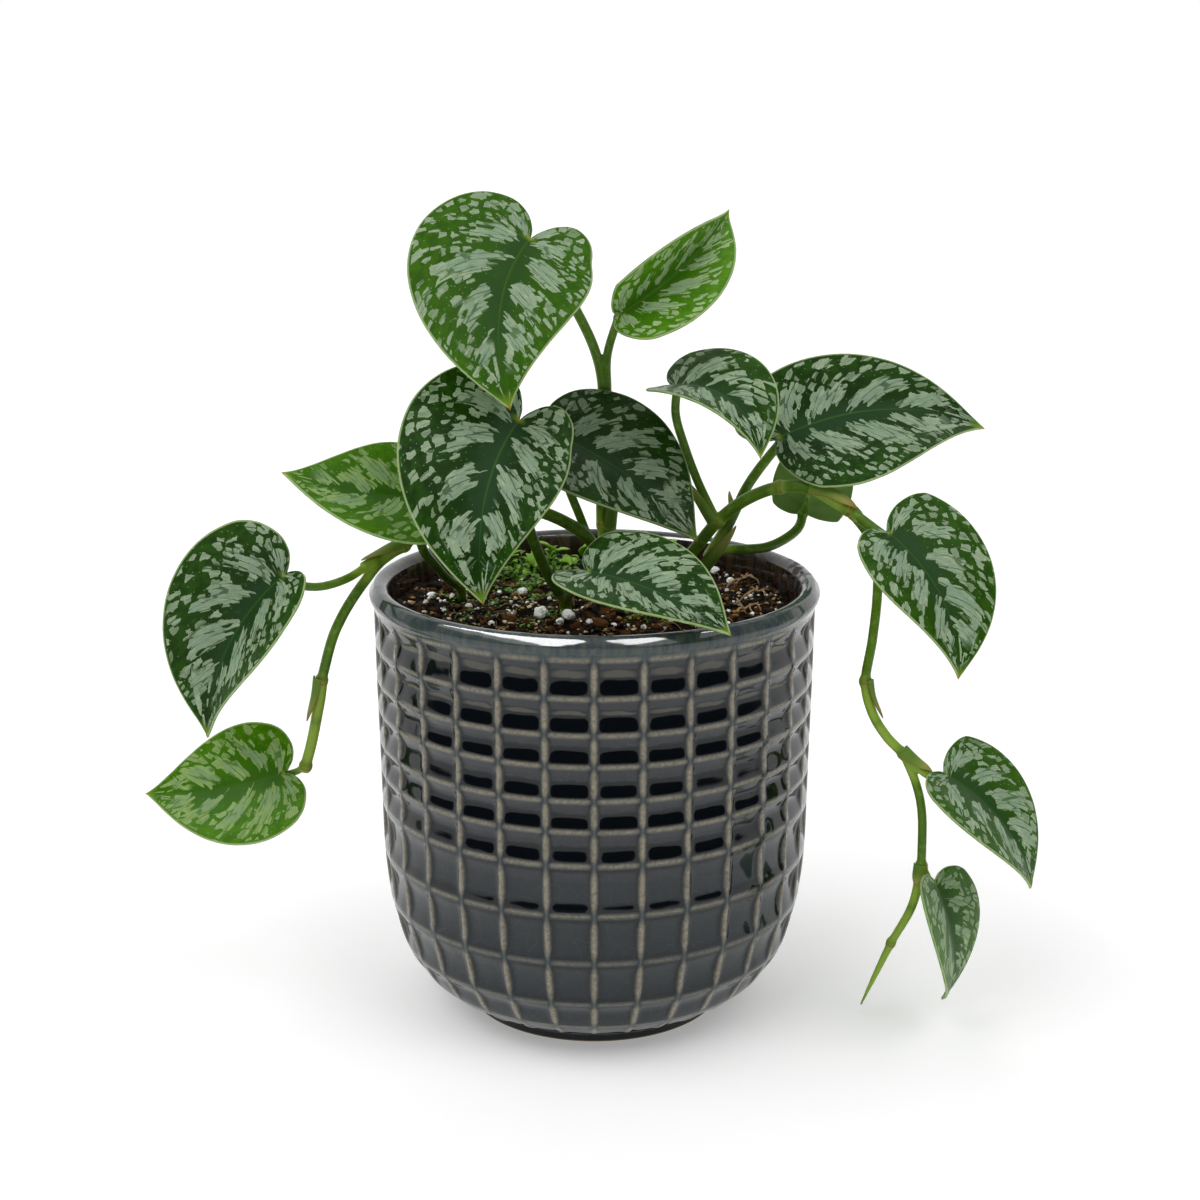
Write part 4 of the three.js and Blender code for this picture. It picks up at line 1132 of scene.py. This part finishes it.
# dry sheaths: route, radii, direction that they face, half width in degrees, dryness, lift of the torn end
HUSKS = [
    ([(66, -5, 167.5), (72, -7, 166), (79, -10, 161)], [2.3, 2.4, 2.3], (0, -0.6, 1), 80, 0.9, 0.5),
    ([(78, -9, 161.5), (80.5, -9, 158)], [2.3, 2.4], (0.6, -0.8, -0.2), 60, 1.0, 0.8),
    ([(-58, -7.5, 151), (-63, -12, 149), (-70, -19.5, 146.5)], [2.4, 2.2, 1.6], (0.2, 0.2, 1), 85, 0.7, 0.5),
    ([(-83.5, -20.5, 112), (-84.4, -20.6, 106), (-86.2, -20.4, 98)], [2.3, 2.1, 2.0], (-1, -0.7, 0),
     60, 0.9, 0.4),
    ([(83.1, -20.2, 111), (84.1, -21.2, 105.5), (86.4, -22.3, 99)], [2.1, 1.8, 1.8], (1, -0.6, 0.2),
     50, 1.0, 0.4),
    ([(94.3, -24, 89.5), (98.2, -25, 86), (102.5, -26, 82.7)], [2.1, 1.9, 1.7], (0, -0.5, 1), 85, 0.5, 0.15),
    ([(101, -29, 54.5), (100.5, -29.5, 48)], [2.1, 1.8], (-0.6, -0.8, 0), 70, 0.8, 0.6),
    ([(34, 10, 139), (38, 9.4, 145), (43, 9, 154)], [2.2, 2.5, 2.2], (0.7, -0.9, -0.3), 90, 0.15, 0.1),
    ([(41, 9.3, 150), (44.5, 9, 157), (45.5, 9, 163)], [2.2, 2.0, 2.4], (-0.8, 0.5, 0.4), 60, 0.1, 1.2),
    ([(37.8, 4.2, 155), (33, 5, 163), (29.5, 4.5, 170)], [2.3, 1.9, 2.0], (-0.6, -0.6, 0.2), 65, 0.3, 0.5),
    ([(4, 18.2, 150), (5, 18, 158), (6, 18, 165)], [2.6, 2.2, 2.2], (0.5, -1, 0), 60, 0.6, 0.5),
    # the broad green sheath low behind leaf 5
    ([(7, 25, 133), (16, 23, 137.5), (26, 17, 136)], [1.5, 3.4, 2.2], (0, -1, 0.4), 62, 0.1, 0.0),
]


def add_husk(pile, route, radii, facing, half_width, dry, lift):
    """A torn sheath round a stem: an open shell along the route that narrows to a point."""
    count, sides = 14, 10
    shares = np.linspace(0, 1, count)
    centres = along_route(route, count)
    tangents = unit(np.gradient(centres, axis=0))
    rows = []
    for layer in (0, HUSK_SKIN):
        for centre, tangent, size, share in zip(centres, tangents, spread(radii, count), shares):
            first = unit(facing - tangent * np.dot(facing, tangent))
            width = math.radians(half_width) * (1 - share**2.2) + 0.05
            away = size + layer + lift * share**1.5
            rows.append(arc(centre, first, np.cross(tangent, first), np.linspace(-width, width, sides), away))
    back = count * sides
    faces = [*grid_faces(count, sides, flip=True), *grid_faces(count, sides, start=back)]
    ends = (count - 1) * sides
    border = []
    for a in range(0, ends, sides):
        border += [(a, a + sides, 1), (a + sides - 1, a + 2 * sides - 1, -1)]
    for end, way in ((0, -1), (ends, 1)):
        border += [(end + j, end + j + 1, way) for j in range(sides - 1)]
    faces += [(a, b, b + back, a + back)[::way] for a, b, way in border]
    along = np.tile(np.repeat(shares, sides), 2)
    edge = np.tile(np.abs(np.linspace(-1, 1, sides)), 2 * count)
    dryness = dry * np.maximum(smoothstep(along, 0.7, 1.0), smoothstep(edge, 0.7, 1.0))
    pile.add(np.vstack(rows), faces, husk=np.stack([along, edge, dryness], -1))


def build_husks():
    pile = Pile()
    for row in HUSKS:
        add_husk(pile, *row)
    add_piece(pile.make("husks", HUSK), "petiole")


# ---------------------------------------------------------------- soil


def soil_height(x, y):
    """Height of the finer soil: the CAD surface with crumbly detail."""
    mound = SOIL_MOUND * np.exp(-(x * x + (y - 8) ** 2) / 700)
    lumps = np.sin(0.31 * x + 1) * np.sin(0.27 * y + 2) + 0.6 * np.sin(0.53 * x - 0.4 * y)
    places = np.stack([x, y, 0 * x], -1)
    fine = noise_at(places, 5.5, 1) * 1.5 + noise_at(places, 2.3, 2) * 0.9 + noise_at(places, 1.1, 3) * 0.45
    bank = SOIL_BANK * smoothstep(np.hypot(x, y), 48, 60)
    return SOIL_LEVEL + (mound + SOIL_LUMP * lumps) + fine + bank


def ground(x, y, lift=0.0):
    """The place above a spot of the soil at that lift."""
    return np.array([x, y, float(soil_height(np.array([x]), np.array([y]))[0]) + lift])


def build_soil():
    rings, sectors = 100, 330
    radii = (float(cavity_radius(SOIL_LEVEL)) - GAP - 0.1) * np.linspace(0, 1, rings + 1) ** 0.9
    turns = 2 * np.pi * np.arange(sectors) / sectors
    x = (radii[:, None] * np.cos(turns)[None, :]).ravel()
    y = (radii[:, None] * np.sin(turns)[None, :]).ravel()
    rows = [np.stack([x, y, soil_height(x, y)], -1)]
    # the side and the underside follow the cavity
    for height in (120, 64, 28, 18, 11, CAVITY_FLOOR + GAP):
        radius = float(cavity_radius(max(height - GAP, CAVITY_FLOOR))) - GAP - 0.1
        level = np.full(sectors, float(height))
        rows.append(np.stack([radius * np.cos(turns), radius * np.sin(turns), level], -1))
    rows.append(np.tile([0.0, 0.0, CAVITY_FLOOR + GAP], (sectors, 1)))
    points = np.vstack(rows)
    faces = grid_faces(len(points) // sectors, sectors, wrap=True, flip=True)
    tint = np.clip(0.3 + 0.9 * noise_at(points, 3.0, 5), 0, 0.7)
    add_piece(make_object("soil_bed", points, faces, SOIL, {"tint": tint}, weld=0.01), "soil", "soil")


def lump(rng, size, flatness, detail, rough):
    """A small irregular ball as points and faces."""
    bm = bmesh.new()
    bmesh.ops.create_icosphere(bm, subdivisions=detail, radius=1.0)
    points = np.array([v.co[:] for v in bm.verts])
    faces = [tuple(v.index for v in f.verts) for f in bm.faces]
    bm.free()
    shift = rng.uniform(0, 90, 3)
    bumps = [
        noise.noise(Vector(p * 1.4 + shift)) + 0.5 * noise.noise(Vector(p * 3.1 + shift)) for p in points
    ]
    points = points * (1 + rough * np.array(bumps))[:, None]
    points = points * (np.array([1, rng.uniform(0.6, 1), flatness]) * size)
    turn = rng.uniform(0, 2 * np.pi)
    lean = rng.uniform(-0.5, 0.5)
    return np.array([turned(turned(p, X_AXIS, lean), Z_AXIS, turn) for p in points]), faces


def clear_of_stems(x, y, gap):
    return all(math.hypot(x - root_x, y - root_y) > radius + gap for root_x, root_y, radius in ROOTS.values())


def draw_place(rng, reach, gap=1.0):
    """A random place on the soil that is clear of the stems."""
    while True:
        radius = reach * math.sqrt(rng.uniform(0, 1))
        turn = rng.uniform(0, 2 * math.pi)
        x, y = radius * math.cos(turn), radius * math.sin(turn)
        if clear_of_stems(x, y, gap):
            return x, y


def build_crumbs():
    rng = np.random.default_rng(SEED + 1)
    pile = Pile()

    def scatter(count, reach, draw_size, flat, lift, tints, detail):
        for _ in range(count):
            size = draw_size()
            x, y = draw_place(rng, reach - size, size + 0.4)
            points, faces = lump(rng, size, rng.uniform(*flat), detail(size), 0.7)
            pile.add(points + ground(x, y, size * lift), faces, tint=rng.uniform(*tints))

    # crumbs, small pale chips, and bark bits that are flatter and larger
    scatter(1700, 60.5, lambda: 0.4 + 1.1 * rng.uniform(0, 1) ** 3, (0.5, 0.9), 0.12, (0, 0.88),
            lambda size: 2 if size > 0.9 else 1)
    scatter(1700, 60.5, lambda: 0.25 + 0.7 * rng.uniform(0, 1) ** 2, (0.3, 0.6), 0.5, (0.76, 1),
            lambda size: 1)
    scatter(70, SOIL_REACH, lambda: rng.uniform(1.4, 2.9), (0.25, 0.45), 0.12, (0.2, 0.84), lambda size: 2)
    add_piece(pile.make("crumbs", SOIL), "soil")


# perlite grains that show from the front: x, y and size
PERLITE_SEEN = [
    (-16.5, -11.5, 2.5), (-8, -16, 2.1), (-24.5, -2, 1.3), (-23, 13.5, 1.5), (-27, -3, 1.3), (-30.5, 15.5, 1),
    (-23.5, 28.5, 1), (-52, 12, 1.5), (-45.5, 13.5, 1.2), (-39.5, 0, 1.2), (-21, 51, 1.6), (-53, 2.5, 1),
    (-31.5, -17, 1.2), (-1.5, -24, 1.2), (2, -20, 1), (36, 47, 1.7), (36, 40, 1.6), (37, 27.5, 2.1),
    (40, 42, 1.6), (44.5, 31, 1.4), (6, -20, 1), (15, -20, 1), (41, -15, 1), (-10.5, -19.5, 1.4),
]


def build_perlite():
    rng = np.random.default_rng(SEED + 2)
    pile = Pile()
    for x, y, size in PERLITE_SEEN:
        points, faces = lump(rng, size, 0.85, 3, 0.25)
        pile.add(points + ground(x, y, 0.45 * size), faces)
    for _ in range(210):
        size = rng.uniform(0.3, 0.85)
        x, y = draw_place(rng, SOIL_REACH - size, size + 0.4)
        points, faces = lump(rng, size, 0.8, 2, 0.4)
        pile.add(points + ground(x, y, 0.35 * size), faces)
    add_piece(pile.make("perlite", PERLITE), "soil")


def build_fibres():
    rng = np.random.default_rng(SEED + 3)
    pile = Pile()

    def strand(x, y, heading, length, radius, tint, arch):
        route = []
        for share in np.linspace(0, 1, 5):
            heading += rng.uniform(-0.35, 0.35)
            px = x + math.cos(heading) * length * share
            py = y + math.sin(heading) * length * share
            away = math.hypot(px, py)
            if away > SOIL_REACH:
                px, py = px * SOIL_REACH / away, py * SOIL_REACH / away
            route.append(ground(px, py, 0.2) + Z_AXIS * (arch * math.sin(math.pi * share)))
        pile.add(*tube(route, [radius, radius, radius * 0.5], sides=6, spacing=0.8), tint=tint)

    for _ in range(260):
        limits = ((0, 6.28), (2.5, 8), (0.1, 0.24), (0, 1), (0, 1.2))  # of strand's last five values
        x, y = draw_place(rng, 58)
        strand(x, y, *[rng.uniform(*pair) for pair in limits])
    # the pale roots that fan out at the right
    for centre in ((49, 31), (52, 16), (47, 3)):
        for spoke in range(6):
            heading = spoke * 1.05 + rng.uniform(-0.3, 0.3)
            strand(*centre, heading, rng.uniform(3.5, 8), 0.36, 1.0, 1.0)
    add_piece(pile.make("fibres", FIBRE), "soil")


def small_leaf(rng, size, stand):
    """One tiny cupped leaf that grows from its point; stand is how steeply it rises, in radians."""
    rows, columns, skin = 6, 5, 0.06
    shares = np.linspace(0, 1, rows)
    places = []
    for layer in (0, skin):
        for share, half in zip(shares, 0.36 * np.sin(np.pi * (0.04 + 0.92 * shares**0.8))):
            for side in np.linspace(-1, 1, columns):
                rise = 0.35 * half * side * side + 0.12 * math.sin(3 * share) + layer
                places.append((side * half, share, rise - 0.25 * share * share))
    back = rows * columns
    faces = [*grid_faces(rows, columns, flip=True), *grid_faces(rows, columns, start=back)]
    grid = np.arange(back).reshape(rows, columns)
    border = [*grid[0], *grid[1:, -1], *grid[-1, -2::-1], *grid[-2:0:-1, 0]]
    faces += [(a, b, b + back, a + back) for a, b in zip(border, border[1:] + border[:1])]
    turn = rng.uniform(0, 2 * math.pi)
    return np.array([turned(turned(p, X_AXIS, stand), Z_AXIS, turn) for p in np.array(places) * size]), faces


# moss and seedlings: centre, spread, number of leaves, leaf size, how high they stand
MOSS_CLUMPS = [
    ((-22, 20), 7, 90, 2.2, 1.5), ((-11, 33), 8, 110, 2.8, 3), ((-26, 36), 7, 90, 2.6, 3),
    ((-13, 46), 8, 110, 3.0, 5), ((3, 38), 6, 70, 2.6, 3), ((-36, 26), 6, 50, 2.2, 1.5),
    ((-12, -12), 5, 45, 1.5, 0.6), ((14, -14), 6, 40, 1.4, 0.5), ((20, 32), 6, 50, 2.4, 2.5),
    ((-30, 4), 6, 40, 1.4, 0.6), ((-7, 24), 7, 80, 2.6, 3), ((-17, 8), 6, 50, 1.8, 1),
    ((-24, 48), 7, 70, 3.0, 5), ((8, 46), 7, 60, 3.0, 4), ((32, 46), 6, 40, 2.4, 2),
    ((-43, 12), 7, 60, 1.6, 0.8), ((-20, -15), 7, 50, 1.4, 0.5), ((24, -11), 6, 40, 1.3, 0.4),
    ((-38, -8), 7, 50, 1.4, 0.6),
]
# seedling leaves: place on the soil, height of the leaf's foot, size
SEEDLINGS = [
    (-14, 50, 4, 9), (-9, 44, 3, 7), (-20, 42, 3, 7), (-3, 48, 5, 8), (16, 50, 5, 11), (24, 48, 4, 8),
    (-28, 48, 3, 6),
]


def build_moss():
    rng = np.random.default_rng(SEED + 4)
    pile = Pile()
    for (cx, cy), clump, count, size, stand in MOSS_CLUMPS:
        for _ in range(count):
            x, y = cx + rng.normal(0, clump * 0.5), cy + rng.normal(0, clump * 0.5)
            if math.hypot(x, y) > 57 or not clear_of_stems(x, y, 1.0):
                continue
            points, faces = small_leaf(rng, size * rng.uniform(0.5, 1.1), rng.uniform(0.2, 1.2))
            lift = rng.uniform(-0.1, 1.0) * stand
            pile.add(points + ground(x, y, lift), faces, tint=rng.uniform(0, 0.8))
            if lift > 0.8:
                pile.add(*tube([ground(x, y, -0.5), ground(x, y, lift)], [0.14, 0.1], 5), tint=0.4)
    for x, y, lift, size in SEEDLINGS:
        for _ in range(3):
            points, faces = small_leaf(rng, size * rng.uniform(0.7, 1.0), rng.uniform(0.5, 1.2))
            pile.add(points + ground(x, y, lift), faces, tint=rng.uniform(0.6, 1))
        pile.add(*tube([ground(x, y, -0.8), ground(x, y, lift + 0.4)], [0.5, 0.4], 8), tint=0.8)
    add_piece(pile.make("moss", MOSS), "soil")


# ---------------------------------------------------------------- stage

CAMERA_PLACE = (1.7, -640, 301.2)
CAMERA_PITCH = 14.89  # degrees below level
LENS = 63.5
CEILING = 0.6
FLOOR_REACH = 60000
LAMP_DISTANCE = 1500
# azimuth and elevation, width and height in degrees, strength; azimuth 0 is the camera's side, 90 the right
SOFTBOXES = [(-62, 55, 60, 30, 3.0), (56, 55, 40, 30, 2.2)]
SOIL_LIGHT = (-20, 50, 30, 20, 4.5)  # lifts the soil between the leaves
STREAKS = [(-58, 56, 56, 20, 27), (47, 56, 40, 14, 24)]  # these only draw the streaks on the glaze


def build_camera():
    data = bpy.data.cameras.new("camera")
    data.lens = LENS
    data.sensor_width = 36
    data.clip_start = 0.02
    data.clip_end = 500
    camera = link_object("camera", data)
    camera.location = Vector(CAMERA_PLACE) * MM
    camera.rotation_euler = (math.radians(90 - CAMERA_PITCH), 0, 0)
    scene.camera = camera


def build_floor():
    steps = 9
    ticks = np.linspace(-FLOOR_REACH, FLOOR_REACH, steps)
    x, y = np.meshgrid(ticks, ticks, indexing="ij")
    points = np.stack([x.ravel(), y.ravel(), np.zeros(x.size)], -1)
    make_object("floor", points, grid_faces(steps, steps, flip=True), FLOOR, {})


def toward(azimuth, elevation):
    a, e = math.radians(azimuth), math.radians(elevation)
    return Vector((math.sin(a) * math.cos(e), -math.cos(a) * math.cos(e), math.sin(e)))


def half_size(degrees):
    return math.tan(math.radians(degrees / 2))


def softbox(direction, azimuth, elevation, width, height):
    """1 where a direction of the world points at a rectangular softbox."""
    ahead = toward(azimuth, elevation)
    side = toward(azimuth + 90, 0)
    forward, across, above = (
        direction.vector("DOT_PRODUCT", tuple(axis), "Value") for axis in (ahead, side, side.cross(ahead))
    )
    inside = forward > 0.05
    for part, half in ((across, half_size(width)), (above, half_size(height))):
        inside = inside * (abs(part / forward) < half)
    return inside


def add_lamp(name, place, pieces, diffuse):
    """A rectangular lamp that lights only some pieces; place is as in STREAKS."""
    azimuth, elevation, width, height, strength = place
    lit = bpy.data.collections.new(f"{name}_lit")
    for piece in pieces:
        lit.objects.link(bpy.data.objects[piece])
    data = bpy.data.lights.new(name, "AREA")
    data.shape = "RECTANGLE"
    data.size = 2 * LAMP_DISTANCE * half_size(width) * MM
    data.size_y = 2 * LAMP_DISTANCE * half_size(height) * MM
    data.energy = strength * math.pi * data.size * data.size_y
    lamp = link_object(name, data)
    away = toward(azimuth, elevation)
    lamp.location = (Vector((0, 0, BEAD_HEIGHT)) + away * LAMP_DISTANCE) * MM
    lamp.rotation_euler = away.to_track_quat("Z", "Y").to_euler()
    lamp.visible_diffuse = diffuse
    lamp.light_linking.receiver_collection = lit
    if diffuse:
        lamp.light_linking.blocker_collection = lit


def build_lamps():
    for index, place in enumerate(STREAKS):
        add_lamp(f"streak_{index + 1}", place, ["pot_glazed"], False)
    add_lamp("soil_light", SOIL_LIGHT, ["soil_bed", "crumbs", "perlite", "fibres", "moss"], True)


def build_world():
    """White round the horizon and behind, a dark room above it in front, a bright ceiling, two softboxes."""
    world = bpy.data.worlds.new("studio")
    scene.world = world
    g = Graph(world)
    direction = g.node("TexCoord", {}, "Generated")
    _, y, z = direction.parts()
    strength = z.ramp(0.04, 0.01).max(y.ramp(0.2, 0.6)).to(0.05, 1)
    strength = strength.max(z.ramp(0.68, 0.82) * CEILING)
    for *box, power in SOFTBOXES:
        strength = strength.max(softbox(direction, *box) * power)
    g.node("OutputWorld", {0: g.node("Background", {"Color": (1, 1, 1, 1), "Strength": strength})})


# ---------------------------------------------------------------- build

scene.view_settings.view_transform = "Standard"
build_world()
build_camera()
build_floor()
build_pot()
for leaf_number, leaf in enumerate(LEAVES, 1):
    build_leaf(leaf_number, leaf)
build_stems()
build_husks()
build_soil()
build_crumbs()
build_perlite()
build_fibres()
build_moss()
build_lamps()
